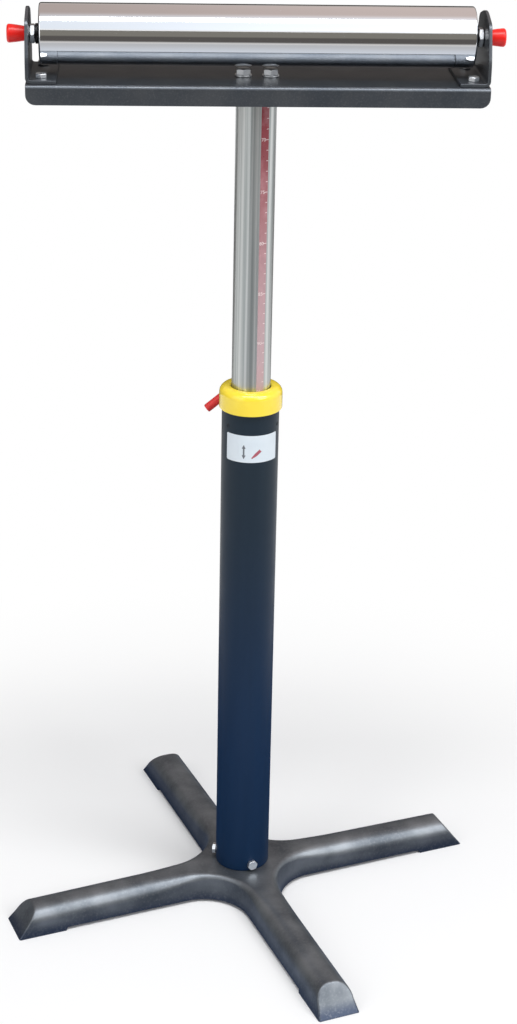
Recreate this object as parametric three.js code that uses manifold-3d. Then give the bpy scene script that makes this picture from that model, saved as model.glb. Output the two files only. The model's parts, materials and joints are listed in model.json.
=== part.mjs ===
// Roller stand: a cross base carries an upright tube, a sliding post and a free turning roller.
// Millimetres, +Z up. The origin is on the floor under the post, X runs along the roller.
import * as THREE from 'three';
import { mergeVertices } from 'three/addons/utils/BufferGeometryUtils.js';
import Module from 'manifold-3d';

const wasm = await Module();
wasm.setup();

// Driving dimensions: fits
const SEAT_GAP = 0.2; // between faces that rest on each other
const SLIDE_CLEARANCE = 0.45; // on the radius, between a sliding post and its guides
const HOLE_CLEARANCE = 0.4; // on the radius, between a bolt or pin and its hole
const PRESS_GAP = 0.25; // on the radius, between a pressed piece and its housing
const SMALLEST_BEND = 0.5; // inner radius of a tight corner

// Driving dimensions: cross base
const BASE_TURN = THREE.MathUtils.degToRad(19.5); // first arm, from the roller's direction
const ARM_COUNT = 4;
const ARM_REACH = 259; // from the post to the arm's end on the floor
const ARM_WIDTH = 44.4;
const ARM_HEIGHT = 30;
const ARM_END_SETBACK = 23; // how far the end face leans back at the hub's height
const ARM_END_DROP = 2; // how much lower the arm's top is at its end than at the hub
const ARM_SIDE_LEAN = 0.22; // the sides lean in, mm per mm of height
const ARM_CROTCH_RADIUS = 48;
const HUB_SHOULDER_RADIUS = 5;
const ARM_SHOULDER_RADIUS = 17;
const ARM_SHOULDER_START = 118; // from the post to where an arm's shoulder has its full radius
const CROTCH_SHOULDER_GROWTH = 0.45; // share of the shoulder's growth that lies within the crotch
const BASE_WALL = 4;
const FOOT_LENGTH = 53;
const FOOT_STEP = 3.5;
const CROTCH_STEPS = 8;
const SHOULDER_STEPS = 4;

// Driving dimensions: upright tube and its foot
const OUTER_TUBE_DIAMETER = 57;
const OUTER_TUBE_WALL = 3;
const OUTER_TUBE_LENGTH = 525.8;
const SPIGOT_HEIGHT = 30;
const SPIGOT_BOLT_DIAMETER = 12;
const SPIGOT_BOLT_THREAD_PROUD = 3;
const TUBE_BOLT_COUNT = 3;
const TUBE_BOLT_FIRST = THREE.MathUtils.degToRad(288.5);
const TUBE_BOLT_DIAMETER = 6;
const TUBE_BOLT_HEIGHT = 8; // above the hub
const TUBE_BOLT_DEPTH = 12; // into the spigot

// Driving dimensions: guide collar and its set screws
const COLLAR_DIAMETER = 62.6;
const COLLAR_HEIGHT = 22.7;
const COLLAR_ROUNDING = 7;
const COLLAR_SPIGOT_LENGTH = 28;
const COLLAR_SCREW_COUNT = 3;
const COLLAR_SCREW_FIRST = THREE.MathUtils.degToRad(216.6);
const COLLAR_SCREW_DIAMETER = 4;
const COLLAR_SCREW_LAND = 2; // collar left between the screw's tip and the post's bore
const COLLAR_SCREW_DROP = 14.2; // below the collar's seat
const COLLAR_SCREW_RECESS = 0.6;

// Driving dimensions: clamp screw and lever
const CLAMP_AZIMUTH = THREE.MathUtils.degToRad(95);
const CLAMP_DROP = 10.75; // below the collar's top
const CLAMP_SCREW_DIAMETER = 10;
const CLAMP_PAD_DIAMETER = 8;
const CLAMP_PAD_LENGTH = 2.5;
const INSERT_DIAMETER = 14;
const INSERT_FLANGE_DIAMETER = 18;
const INSERT_FLANGE_THICKNESS = 2;
const CLAMP_HEAD_DIAMETER = 17;
const CLAMP_HEAD_LENGTH = 15;
const CLAMP_HEAD_GAP = 5; // between the insert's flange and the clamp screw's head
const LEVER_DROP_ANGLE = THREE.MathUtils.degToRad(39);
const LEVER_DIAMETER = 6;
const LEVER_LENGTH = 47; // from the clamp screw's axis
const SLEEVE_DIAMETER = 8.7;
const SLEEVE_LENGTH = 37;
const SLEEVE_END = 2;

// Driving dimensions: post
const POST_DIAMETER = 38.5;
const POST_WALL = 3;
const POST_LENGTH = 529;
const POST_SHOWN = 295.2; // above the collar, as the stand is set
const BUSH_LENGTH = 30;
const CIRCLIP_THICKNESS = 1.5;
const CIRCLIP_WIDTH = 3;
const BUSH_END_MARGIN = 4; // post below the lower circlip

// Driving dimensions: head channel
const CHANNEL_DEPTH = 92;
const CHANNEL_HEIGHT = 18.3;
const CHANNEL_THICKNESS = 3;
const CHANNEL_BEND_RADIUS = 4;
const CHANNEL_CORNER_RADIUS = 9;
const HEAD_PLATE_SIZE = 70;
const HEAD_PLATE_THICKNESS = 6;
const HEAD_BOLT_SPACING = 25.4;
const HEAD_BOLT_DIAMETER = 8;

// Driving dimensions: brackets
const BRACKET_DEPTH = 84;
const BRACKET_THICKNESS = 3;
const BRACKET_RISE = 24.2; // above the axle
const BRACKET_TAPER_START = 20; // above the bracket's foot
const BRACKET_SHOULDER_DEPTH = 60;
const BRACKET_SHOULDER_DROP = 7; // below the bracket's top
const BRACKET_TOP_DEPTH = 12;
const BRACKET_CORNER_RADIUS = 5;
const BRACKET_FOOT_LENGTH = 28;
const BRACKET_BEND_RADIUS = 5;
const FOOT_BOLT_DIAMETER = 6;
const FOOT_BOLT_THREAD_PROUD = 2.3; // below the nut
const FOOT_BOLT_SPACING = 56; // across the channel
const FOOT_BOLT_INSET = 14; // from the bracket's outer face

// Driving dimensions: roller, axle and knobs
const ROLLER_DIAMETER = 56;
const ROLLER_LENGTH = 400;
const ROLLER_WALL = 3;
const ROLLER_EDGE = 2;
const ROLLER_GAP = 9.5; // between the roller and the channel
const ROLLER_SIDE_GAP = 1.1; // between the roller's end and the axle spacer
const ROLLER_END_RECESS = 2.5;
const ROLLER_END_THICKNESS = 12;
const AXLE_DIAMETER = 10;
const AXLE_NUT_THICKNESS = 5;
const SPACER_FLANGE_DIAMETER = 18.5;
const SPACER_FLANGE_THICKNESS = 2.5;
const BEARING_DIAMETER = 30;
const BEARING_WIDTH = 9;
const BEARING_RING_THICKNESS = 2;
const BALL_COUNT = 8;
const KNOB_LENGTH = 17.5;
const KNOB_DIAMETER = 17.4;
const KNOB_NECK_DIAMETER = 13;
const KNOB_ROUNDING = 2.5;
const KNOB_THREAD_DEPTH = 13.5;
const KNOB_THREAD_SPARE = 1; // thread left beyond the axle's end

// Metric hexagon hardware, as multiples of the thread's diameter
const HEX_FLATS_RATIO = 1.63;
const HEAD_HEIGHT_RATIO = 0.65;
const NUT_HEIGHT_RATIO = 0.85;
const WASHER_DIAMETER_RATIO = 2;
const WASHER_THICKNESS_RATIO = 0.2;

// Facets of round pieces
const ROUND_LARGE = 40;
const ROUND_MEDIUM = 24;
const ROUND_SMALL = 14;
const BALL_FACETS = 6;
const BALL_RINGS = 4;

// Working values
const OVERCUT = 1; // how far a cut runs past the face it opens
const WELD_TOLERANCE = 1e-4;

// Heights worked out from the driving dimensions
const hubTop = ARM_HEIGHT;
const tubeFoot = hubTop + SEAT_GAP;
const tubeTop = tubeFoot + OUTER_TUBE_LENGTH;
const collarSeat = tubeTop + SEAT_GAP;
const collarTop = collarSeat + COLLAR_HEIGHT;
const clampHeight = collarTop - CLAMP_DROP;
const postTop = collarTop + POST_SHOWN;
const postFoot = postTop - POST_LENGTH;
const headPlateBottom = postTop + SEAT_GAP;
const headPlateTop = headPlateBottom + HEAD_PLATE_THICKNESS;
const webBottom = headPlateTop + SEAT_GAP;
const channelTop = webBottom + CHANNEL_THICKNESS;
const axleHeight = channelTop + ROLLER_GAP + ROLLER_DIAMETER / 2;
const bracketFoot = channelTop + SEAT_GAP;
const bracketTop = axleHeight + BRACKET_RISE;

// Radii and places along the roller
const outerTubeRadius = OUTER_TUBE_DIAMETER / 2;
const outerTubeBore = outerTubeRadius - OUTER_TUBE_WALL;
const postRadius = POST_DIAMETER / 2;
const postBore = postRadius - POST_WALL;
const guideBore = postRadius + SLIDE_CLEARANCE;
const rollerEnd = ROLLER_LENGTH / 2;
const spacerInner = rollerEnd + ROLLER_SIDE_GAP;
const spacerOuter = spacerInner + SPACER_FLANGE_THICKNESS;
const nutInner = spacerOuter + SEAT_GAP;
const nutOuter = nutInner + AXLE_NUT_THICKNESS;
const bracketInner = nutOuter + SEAT_GAP;
const bracketOuter = bracketInner + BRACKET_THICKNESS;
const channelEnd = bracketOuter;
const rollerBore = ROLLER_DIAMETER / 2 - ROLLER_WALL;
const axleRadius = AXLE_DIAMETER / 2;
const axleEnd = bracketOuter + SEAT_GAP + KNOB_THREAD_DEPTH - KNOB_THREAD_SPARE;

// Joining and cutting

// Merges shared corners, drops collapsed triangles and turns the faces outward.
function weld(geometry) {
  const bare = new THREE.BufferGeometry();
  bare.setAttribute('position', geometry.getAttribute('position').clone());
  bare.setIndex(geometry.getIndex());
  const merged = mergeVertices(bare, WELD_TOLERANCE);
  const position = merged.getAttribute('position');
  const index = merged.getIndex().array;
  const corner = [new THREE.Vector3(), new THREE.Vector3(), new THREE.Vector3()];
  const kept = [];
  let volume = 0;
  for (let i = 0; i < index.length; i += 3) {
    const [a, b, c] = [index[i], index[i + 1], index[i + 2]];
    if (a === b || b === c || c === a) continue;
    kept.push(a, b, c);
    [a, b, c].forEach((vertex, k) => corner[k].fromBufferAttribute(position, vertex));
    volume += corner[0].dot(corner[1].cross(corner[2]));
  }
  if (volume < 0) kept.reverse();
  merged.setIndex(kept);
  return merged;
}

function toSolid(geometry) {
  const welded = weld(geometry);
  const vertProperties = Float32Array.from(welded.getAttribute('position').array);
  const triVerts = Uint32Array.from(welded.getIndex().array);
  return new wasm.Manifold(new wasm.Mesh({ numProp: 3, vertProperties, triVerts }));
}

function toGeometry(solid) {
  const mesh = solid.getMesh();
  const geometry = new THREE.BufferGeometry();
  geometry.setAttribute('position', new THREE.BufferAttribute(Float32Array.from(mesh.vertProperties), 3));
  geometry.setIndex(Array.from(mesh.triVerts));
  return geometry;
}

function cut(geometry, tools) {
  return toGeometry(tools.reduce((solid, tool) => solid.subtract(toSolid(tool)), toSolid(geometry)));
}

function join(geometries) {
  return toGeometry(geometries.map(toSolid).reduce((whole, solid) => whole.add(solid)));
}

function keepInside(geometry, limit) {
  return toGeometry(toSolid(geometry).intersect(toSolid(limit)));
}

// Basic shapes

// Turned piece about +Z from a closed profile of [radius, height] points.
function turned(profile, facets = ROUND_LARGE) {
  const points = profile.map(([radius, height]) => new THREE.Vector2(radius, height));
  const closed = [...points, points[0]];
  return weld(new THREE.LatheGeometry(closed, facets).rotateX(Math.PI / 2));
}

function ring(innerRadius, outerRadius, low, high, facets = ROUND_LARGE) {
  return turned([[innerRadius, low], [outerRadius, low], [outerRadius, high], [innerRadius, high]], facets);
}

// Rod along +Z, from one height to another.
function rod(radius, low, high, facets = ROUND_SMALL) {
  const length = high - low;
  return new THREE.CylinderGeometry(radius, radius, length, facets)
    .rotateX(Math.PI / 2)
    .translate(0, 0, low + length / 2);
}

function block(size, centre) {
  return new THREE.BoxGeometry(...size).translate(...centre);
}

// Points of an arc in a plane, from one angle to another.
function arc(centre, radius, from, to, steps) {
  return Array.from({ length: steps + 1 }, (_, i) => {
    const angle = from + ((to - from) * i) / steps;
    return [centre[0] + radius * Math.cos(angle), centre[1] + radius * Math.sin(angle)];
  });
}

function shapeOf(points) {
  return new THREE.Shape(points.map(([x, y]) => new THREE.Vector2(x, y)));
}

// Prism along +Z of an outline.
function prism(points, low, high) {
  return new THREE.ExtrudeGeometry(shapeOf(points), { depth: high - low, bevelEnabled: false })
    .translate(0, 0, low);
}

function hexPrism(acrossFlats, low, high) {
  return rod(acrossFlats / Math.sqrt(3), low, high, 6);
}

// Turns a piece made along +Z to lie along +X.
function alongX(geometry) {
  return geometry.rotateY(Math.PI / 2);
}

// Turns a piece made along +Z to lie along +Y.
function alongY(geometry) {
  return geometry.rotateX(-Math.PI / 2);
}

// Sends a section drawn in (Y, Z) and extruded to its place along X.
const ACROSS_TO_X = new THREE.Matrix4().set(0, 0, 1, 0, 1, 0, 0, 0, 0, 1, 0, 0, 0, 0, 0, 1);

// Turns a piece made along +Z to point outward from the post at an azimuth and height.
function outward(geometry, azimuth, height) {
  return alongX(geometry).rotateZ(azimuth).translate(0, 0, height);
}

function mirroredX(geometry) {
  return weld(geometry.clone().scale(-1, 1, 1));
}

function evenAzimuths(first, count) {
  return Array.from({ length: count }, (_, i) => first + (i * 2 * Math.PI) / count);
}

// Hexagon hardware along +Z

function hexBolt(diameter, shankLength) {
  const headHeight = diameter * HEAD_HEIGHT_RATIO;
  const head = hexPrism(diameter * HEX_FLATS_RATIO, 0, headHeight);
  return join([head, rod(diameter / 2, -shankLength, headHeight / 2)]);
}

function hexNut(diameter, thickness = diameter * NUT_HEIGHT_RATIO) {
  const bore = diameter / 2 + PRESS_GAP;
  const hole = rod(bore, -OVERCUT, thickness + OVERCUT);
  return cut(hexPrism(diameter * HEX_FLATS_RATIO, 0, thickness), [hole]);
}

function washer(diameter) {
  const outerRadius = (diameter * WASHER_DIAMETER_RATIO) / 2;
  const bore = diameter / 2 + HOLE_CLEARANCE;
  return ring(bore, outerRadius, 0, diameter * WASHER_THICKNESS_RATIO, ROUND_SMALL);
}

// Cross base

// Half section of an arm: [inset from the side, height] from the floor to the top's edge.
function armSection(shoulderRadius, height, sideInset, floor) {
  const shoulderStart = height - shoulderRadius;
  const lean = sideInset + ARM_SIDE_LEAN * shoulderStart;
  const centre = [lean + shoulderRadius, shoulderStart];
  const shoulder = arc(centre, shoulderRadius, Math.PI, Math.PI / 2, SHOULDER_STEPS);
  return [[sideInset + ARM_SIDE_LEAN * floor, floor], ...shoulder];
}

// Points round one arm and the crotch beside it: where each lies at an inset and height of the
// section there, how far the shoulder has grown from the hub's radius to the arm's, and how
// much lower the top is than the hub.
function armStations(endReachAt) {
  const half = ARM_WIDTH / 2;
  const side = (sign) => ({
    growth: 1,
    drop: 0,
    at: (inset) => [ARM_SHOULDER_START, sign * (half - inset)],
  });
  const end = (sign) => ({
    growth: 1,
    drop: ARM_END_DROP,
    at: (inset, height) => [endReachAt(height), sign * (half - inset)],
  });
  const bisector = Math.PI / ARM_COUNT;
  const distance = (half + ARM_CROTCH_RADIUS) / Math.sin(bisector);
  const centre = [distance * Math.cos(bisector), distance * Math.sin(bisector)];
  const [from, to] = [1.5 * Math.PI, 2 * bisector + Math.PI / 2];
  const crotch = Array.from({ length: CROTCH_STEPS + 1 }, (_, i) => ({
    growth: CROTCH_SHOULDER_GROWTH * Math.abs((2 * i) / CROTCH_STEPS - 1),
    drop: 0,
    at: (inset) => arc(centre, ARM_CROTCH_RADIUS + inset, from, to, CROTCH_STEPS)[i],
  }));
  return [side(-1), end(-1), end(1), side(1), ...crotch];
}

// Closed body through outlines that all have the same number of points.
function loft(levels) {
  const count = levels[0].length;
  const corners = levels.flat(2);
  const faces = [];
  for (let level = 0; level + 1 < levels.length; level += 1) {
    for (let i = 0; i < count; i += 1) {
      const next = (i + 1) % count;
      const [a, b] = [level * count + i, level * count + next];
      faces.push(a, b, b + count, a, b + count, a + count);
    }
  }
  const cap = (level) => {
    const outline = levels[level].map(([x, y]) => new THREE.Vector2(x, y));
    const triangles = THREE.ShapeUtils.triangulateShape(outline, []);
    return triangles.flat().map((k) => level * count + k);
  };
  faces.push(...cap(0).reverse(), ...cap(levels.length - 1));
  const geometry = new THREE.BufferGeometry();
  geometry.setAttribute('position', new THREE.Float32BufferAttribute(corners, 3));
  geometry.setIndex(faces);
  return geometry;
}

function crossBody(height, wall, floor) {
  const endLean = ARM_END_SETBACK / ARM_HEIGHT;
  const endWall = wall * Math.hypot(1, endLean);
  const stations = armStations((z) => ARM_REACH - endWall - endLean * z);
  const columns = evenAzimuths(0, ARM_COUNT).flatMap((azimuth) => stations.map(({ growth, drop, at }) => {
    const radius = THREE.MathUtils.lerp(HUB_SHOULDER_RADIUS, ARM_SHOULDER_RADIUS, growth);
    const section = armSection(Math.max(radius - wall, SMALLEST_BEND), height - drop, wall, floor);
    const [cosine, sine] = [Math.cos(azimuth), Math.sin(azimuth)];
    return section.map(([inset, z]) => {
      const [x, y] = at(inset, z);
      return [x * cosine - y * sine, x * sine + y * cosine, z];
    });
  }));
  return loft(columns[0].map((_, level) => columns.map((column) => column[level])));
}

function crossBase() {
  const shell = crossBody(ARM_HEIGHT, 0, 0);
  const hollow = crossBody(ARM_HEIGHT - BASE_WALL, BASE_WALL, -OVERCUT);
  const bisector = Math.PI / ARM_COUNT;
  const stepCorner = (ARM_REACH - FOOT_LENGTH) / Math.cos(bisector);
  const step = rod(stepCorner, -FOOT_STEP, FOOT_STEP, ARM_COUNT).rotateZ(Math.PI / 2 - bisector);
  const boltHole = rod(SPIGOT_BOLT_DIAMETER / 2 + HOLE_CLEARANCE, 0, ARM_HEIGHT + OVERCUT);
  return cut(shell, [hollow, step, boltHole]);
}

// Upright tube, spigot and collar

function tubeBoltHoles(from, to) {
  const radius = TUBE_BOLT_DIAMETER / 2 + HOLE_CLEARANCE;
  return evenAzimuths(TUBE_BOLT_FIRST, TUBE_BOLT_COUNT)
    .map((azimuth) => outward(rod(radius, from, to), azimuth, hubTop + TUBE_BOLT_HEIGHT));
}

function collarScrewHoles(from, to) {
  const radius = COLLAR_SCREW_DIAMETER / 2 + PRESS_GAP;
  return evenAzimuths(COLLAR_SCREW_FIRST, COLLAR_SCREW_COUNT)
    .map((azimuth) => outward(rod(radius, from, to), azimuth, collarSeat - COLLAR_SCREW_DROP));
}

function hubSpigot() {
  const radius = outerTubeBore - PRESS_GAP;
  const bore = SPIGOT_BOLT_DIAMETER / 2 + HOLE_CLEARANCE;
  const plug = ring(bore, radius, tubeFoot, tubeFoot + SPIGOT_HEIGHT, ROUND_MEDIUM);
  const holeEnd = outerTubeBore - TUBE_BOLT_DEPTH - OVERCUT;
  return cut(plug, tubeBoltHoles(holeEnd, outerTubeRadius));
}

function outerTube() {
  const tube = ring(outerTubeBore, outerTubeRadius, tubeFoot, tubeTop);
  const [inside, outside] = [outerTubeBore - OVERCUT, outerTubeRadius + OVERCUT];
  return cut(tube, [...tubeBoltHoles(inside, outside), ...collarScrewHoles(inside, outside)]);
}

const collarScrewOuter = outerTubeRadius - COLLAR_SCREW_RECESS;
const collarScrewInner = guideBore + COLLAR_SCREW_LAND + SEAT_GAP;
const padInner = postRadius + SEAT_GAP;
const padOuter = padInner + CLAMP_PAD_LENGTH;

function guideCollar() {
  const radius = COLLAR_DIAMETER / 2;
  const spigot = outerTubeBore - PRESS_GAP;
  const roundingCentre = [radius - COLLAR_ROUNDING, collarTop - COLLAR_ROUNDING];
  const rounding = arc(roundingCentre, COLLAR_ROUNDING, 0, Math.PI / 2, SHOULDER_STEPS);
  const body = turned([
    [guideBore, collarSeat - COLLAR_SPIGOT_LENGTH],
    [spigot, collarSeat - COLLAR_SPIGOT_LENGTH],
    [spigot, collarSeat],
    [radius, collarSeat],
    ...rounding,
    [guideBore, collarTop],
  ]);
  const insertHole = rod(INSERT_DIAMETER / 2 + PRESS_GAP, padOuter, radius + OVERCUT);
  const padHole = rod(CLAMP_PAD_DIAMETER / 2 + HOLE_CLEARANCE, 0, padOuter + OVERCUT);
  return cut(body, [
    outward(insertHole, CLAMP_AZIMUTH, clampHeight),
    outward(padHole, CLAMP_AZIMUTH, clampHeight),
    ...collarScrewHoles(collarScrewInner - SEAT_GAP, outerTubeRadius),
  ]);
}

// Clamp, made along +Z with zero on the post axis

const insertSeat = COLLAR_DIAMETER / 2 + SEAT_GAP;
const insertOuter = insertSeat + INSERT_FLANGE_THICKNESS;
const clampHeadInner = insertOuter + CLAMP_HEAD_GAP;
const clampHeadOuter = clampHeadInner + CLAMP_HEAD_LENGTH;
const leverDistance = (clampHeadInner + clampHeadOuter) / 2;
const leverTail = CLAMP_HEAD_DIAMETER / 4; // lever beyond the clamp screw's axis

function clampInsert() {
  const bore = CLAMP_SCREW_DIAMETER / 2 + PRESS_GAP;
  return turned([
    [bore, padOuter + SEAT_GAP],
    [INSERT_DIAMETER / 2, padOuter + SEAT_GAP],
    [INSERT_DIAMETER / 2, insertSeat],
    [INSERT_FLANGE_DIAMETER / 2, insertSeat],
    [INSERT_FLANGE_DIAMETER / 2, insertOuter],
    [bore, insertOuter],
  ], ROUND_MEDIUM);
}

function clampScrew() {
  const stud = rod(CLAMP_SCREW_DIAMETER / 2, padOuter + SEAT_GAP, leverDistance);
  const head = rod(CLAMP_HEAD_DIAMETER / 2, clampHeadInner, clampHeadOuter, ROUND_MEDIUM);
  const hole = rod(LEVER_DIAMETER / 2 + PRESS_GAP, -leverTail - SEAT_GAP, CLAMP_HEAD_DIAMETER);
  return cut(join([stud, head]), [alongY(hole).translate(0, 0, leverDistance)]);
}

function leverSleeve() {
  const radius = SLEEVE_DIAMETER / 2;
  const bore = LEVER_DIAMETER / 2 + PRESS_GAP;
  const closedEnd = LEVER_LENGTH + SEAT_GAP;
  const end = closedEnd + SLEEVE_END;
  const start = end - SLEEVE_LENGTH;
  return turned([
    [bore, start], [radius, start], [radius, end], [0, end], [0, closedEnd], [bore, closedEnd],
  ], ROUND_SMALL);
}

// Post

const lowerCirclip = postFoot + BUSH_END_MARGIN;
const bushFoot = lowerCirclip + CIRCLIP_THICKNESS + SEAT_GAP;
const upperCirclip = bushFoot + BUSH_LENGTH + SEAT_GAP;

function circlip(low) {
  const bore = postRadius + SEAT_GAP;
  return ring(bore, bore + CIRCLIP_WIDTH, low, low + CIRCLIP_THICKNESS, ROUND_MEDIUM);
}

// Head

const headBoltPlaces = { left: -HEAD_BOLT_SPACING / 2, right: HEAD_BOLT_SPACING / 2 };
const footBoltX = bracketOuter - FOOT_BOLT_INSET;
const footBoltPlaces = {
  front_left: [-footBoltX, -FOOT_BOLT_SPACING / 2],
  front_right: [footBoltX, -FOOT_BOLT_SPACING / 2],
  rear_left: [-footBoltX, FOOT_BOLT_SPACING / 2],
  rear_right: [footBoltX, FOOT_BOLT_SPACING / 2],
};

function uprightHoles(places, diameter, low, high) {
  return places.map(([x, y]) => rod(diameter / 2 + HOLE_CLEARANCE, low, high).translate(x, y, 0));
}

const headBoltPoints = Object.values(headBoltPlaces).map((x) => [x, 0]);

function headPlate() {
  const plate = block(
    [HEAD_PLATE_SIZE, HEAD_PLATE_SIZE, HEAD_PLATE_THICKNESS],
    [0, 0, headPlateBottom + HEAD_PLATE_THICKNESS / 2],
  );
  const [low, high] = [headPlateBottom - OVERCUT, headPlateTop + OVERCUT];
  return cut(plate, uprightHoles(headBoltPoints, HEAD_BOLT_DIAMETER, low, high));
}

// Sheet bent to an upside-down U, its flanges' lower corners rounded.
function channel() {
  const outer = CHANNEL_DEPTH / 2;
  const inner = outer - CHANNEL_THICKNESS;
  const bend = CHANNEL_BEND_RADIUS;
  const innerBend = Math.max(bend - CHANNEL_THICKNESS, SMALLEST_BEND);
  const bottom = channelTop - CHANNEL_HEIGHT;
  const section = [
    [outer, bottom],
    ...arc([outer - bend, channelTop - bend], bend, 0, Math.PI / 2, SHOULDER_STEPS),
    ...arc([bend - outer, channelTop - bend], bend, Math.PI / 2, Math.PI, SHOULDER_STEPS),
    [-outer, bottom],
    [-inner, bottom],
    ...arc([innerBend - inner, webBottom - innerBend], innerBend, Math.PI, Math.PI / 2, SHOULDER_STEPS),
    ...arc([inner - innerBend, webBottom - innerBend], innerBend, Math.PI / 2, 0, SHOULDER_STEPS),
    [inner, bottom],
  ];
  const half = channelEnd;
  const sheet = prism(section, -half, half).applyMatrix4(ACROSS_TO_X);
  const corner = CHANNEL_CORNER_RADIUS;
  const front = [
    [-half, channelTop + OVERCUT],
    ...arc([corner - half, bottom + corner], corner, Math.PI, 1.5 * Math.PI, SHOULDER_STEPS),
    ...arc([half - corner, bottom + corner], corner, 1.5 * Math.PI, 2 * Math.PI, SHOULDER_STEPS),
    [half, channelTop + OVERCUT],
  ];
  const limit = prism(front, -CHANNEL_DEPTH, CHANNEL_DEPTH).rotateX(Math.PI / 2);
  const [low, high] = [webBottom - OVERCUT, channelTop + OVERCUT];
  return cut(keepInside(sheet, limit), [
    ...uprightHoles(headBoltPoints, HEAD_BOLT_DIAMETER, low, high),
    ...uprightHoles(Object.values(footBoltPlaces), FOOT_BOLT_DIAMETER, low, high),
  ]);
}

// Right bracket: a sheet bent to an L, its upright tapered to shoulders and closed by a low gable.
function bracket() {
  const bend = BRACKET_BEND_RADIUS;
  const innerBend = Math.max(bend - BRACKET_THICKNESS, SMALLEST_BEND);
  const footTop = bracketFoot + BRACKET_THICKNESS;
  const footEnd = bracketOuter - BRACKET_FOOT_LENGTH;
  const section = [
    [footEnd, bracketFoot],
    ...arc([bracketOuter - bend, bracketFoot + bend], bend, 1.5 * Math.PI, 2 * Math.PI, SHOULDER_STEPS),
    [bracketOuter, bracketTop],
    [bracketInner, bracketTop],
    ...arc([bracketInner - innerBend, footTop + innerBend], innerBend, 0, -Math.PI / 2, SHOULDER_STEPS),
    [footEnd, footTop],
  ];
  const sheet = prism(section, -BRACKET_DEPTH, BRACKET_DEPTH).rotateX(Math.PI / 2);
  const belowFoot = bracketFoot - 2 * BRACKET_CORNER_RADIUS; // only the upper corners round the sheet
  const frontSide = [
    [BRACKET_DEPTH / 2, belowFoot],
    [BRACKET_DEPTH / 2, bracketFoot + BRACKET_TAPER_START],
    [BRACKET_SHOULDER_DEPTH / 2, bracketTop - BRACKET_SHOULDER_DROP],
    [BRACKET_TOP_DEPTH / 2, bracketTop],
  ];
  const rearSide = frontSide.map(([depth, height]) => [-depth, height]).reverse();
  const outline = roundedOutline([...frontSide, ...rearSide], BRACKET_CORNER_RADIUS);
  const limit = prism(outline, 0, bracketOuter + OVERCUT).applyMatrix4(ACROSS_TO_X);
  const [inside, outside] = [bracketInner - OVERCUT, bracketOuter + OVERCUT];
  const axleHole = alongX(rod(axleRadius + HOLE_CLEARANCE, inside, outside)).translate(0, 0, axleHeight);
  const footPlaces = [footBoltPlaces.front_right, footBoltPlaces.rear_right];
  const [low, high] = [bracketFoot - OVERCUT, footTop + OVERCUT];
  const footHoles = uprightHoles(footPlaces, FOOT_BOLT_DIAMETER, low, high);
  return cut(keepInside(sheet, limit), [axleHole, ...footHoles]);
}

// Outline with each corner replaced by a short curve that starts one radius away from it.
function roundedOutline(corners, radius) {
  const points = corners.map(([x, y]) => new THREE.Vector2(x, y));
  return points.flatMap((point, i) => {
    const before = points[(i + points.length - 1) % points.length];
    const after = points[(i + 1) % points.length];
    const start = point.clone().add(before.clone().sub(point).setLength(radius));
    const end = point.clone().add(after.clone().sub(point).setLength(radius));
    const curve = new THREE.QuadraticBezierCurve(start, point, end);
    return curve.getPoints(SHOULDER_STEPS).map(({ x, y }) => [x, y]);
  });
}

// Roller, axle and knobs; the right-hand pieces, along +Z with zero at the stand's middle

const rollerEndOuter = rollerEnd - ROLLER_END_RECESS;
const rollerEndInner = rollerEndOuter - ROLLER_END_THICKNESS;
const bearingOuter = rollerEndOuter - SEAT_GAP;
const bearingInner = bearingOuter - BEARING_WIDTH;
const innerRingRadius = axleRadius + SEAT_GAP + BEARING_RING_THICKNESS;
const outerRingRadius = BEARING_DIAMETER / 2 - BEARING_RING_THICKNESS;

function rollerTube() {
  const radius = ROLLER_DIAMETER / 2;
  return turned([
    [rollerBore, -rollerEnd],
    [radius - ROLLER_EDGE, -rollerEnd],
    [radius, -rollerEnd + ROLLER_EDGE],
    [radius, rollerEnd - ROLLER_EDGE],
    [radius - ROLLER_EDGE, rollerEnd],
    [rollerBore, rollerEnd],
  ]);
}

function rollerEndCap() {
  const bearingSeat = BEARING_DIAMETER / 2 + PRESS_GAP;
  const shoulder = outerRingRadius;
  return turned([
    [shoulder, rollerEndInner],
    [rollerBore - PRESS_GAP, rollerEndInner],
    [rollerBore - PRESS_GAP, rollerEndOuter],
    [bearingSeat, rollerEndOuter],
    [bearingSeat, bearingInner - SEAT_GAP],
    [shoulder, bearingInner - SEAT_GAP],
  ], ROUND_MEDIUM);
}

function bearingRing(innerRadius, outerRadius) {
  return ring(innerRadius, outerRadius, bearingInner, bearingOuter, ROUND_MEDIUM);
}

function bearingBalls() {
  const track = (innerRingRadius + outerRingRadius) / 2;
  const ballRadius = (outerRingRadius - innerRingRadius) / 2 - SEAT_GAP;
  const middle = (bearingInner + bearingOuter) / 2;
  const cageHalf = ballRadius / 3;
  const [low, high] = [middle - cageHalf, middle + cageHalf];
  const cage = ring(track - cageHalf, track + cageHalf, low, high, 2 * BALL_COUNT);
  const balls = evenAzimuths(0, BALL_COUNT).map((azimuth) => {
    const ball = new THREE.SphereGeometry(ballRadius, BALL_FACETS, BALL_RINGS);
    return ball.translate(track * Math.cos(azimuth), track * Math.sin(azimuth), middle);
  });
  return join([cage, ...balls]);
}

function axleSpacer() {
  const bore = axleRadius + SEAT_GAP;
  return turned([
    [bore, bearingOuter + SEAT_GAP],
    [innerRingRadius, bearingOuter + SEAT_GAP],
    [innerRingRadius, spacerInner],
    [SPACER_FLANGE_DIAMETER / 2, spacerInner],
    [SPACER_FLANGE_DIAMETER / 2, spacerOuter],
    [bore, spacerOuter],
  ], ROUND_SMALL);
}

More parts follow.
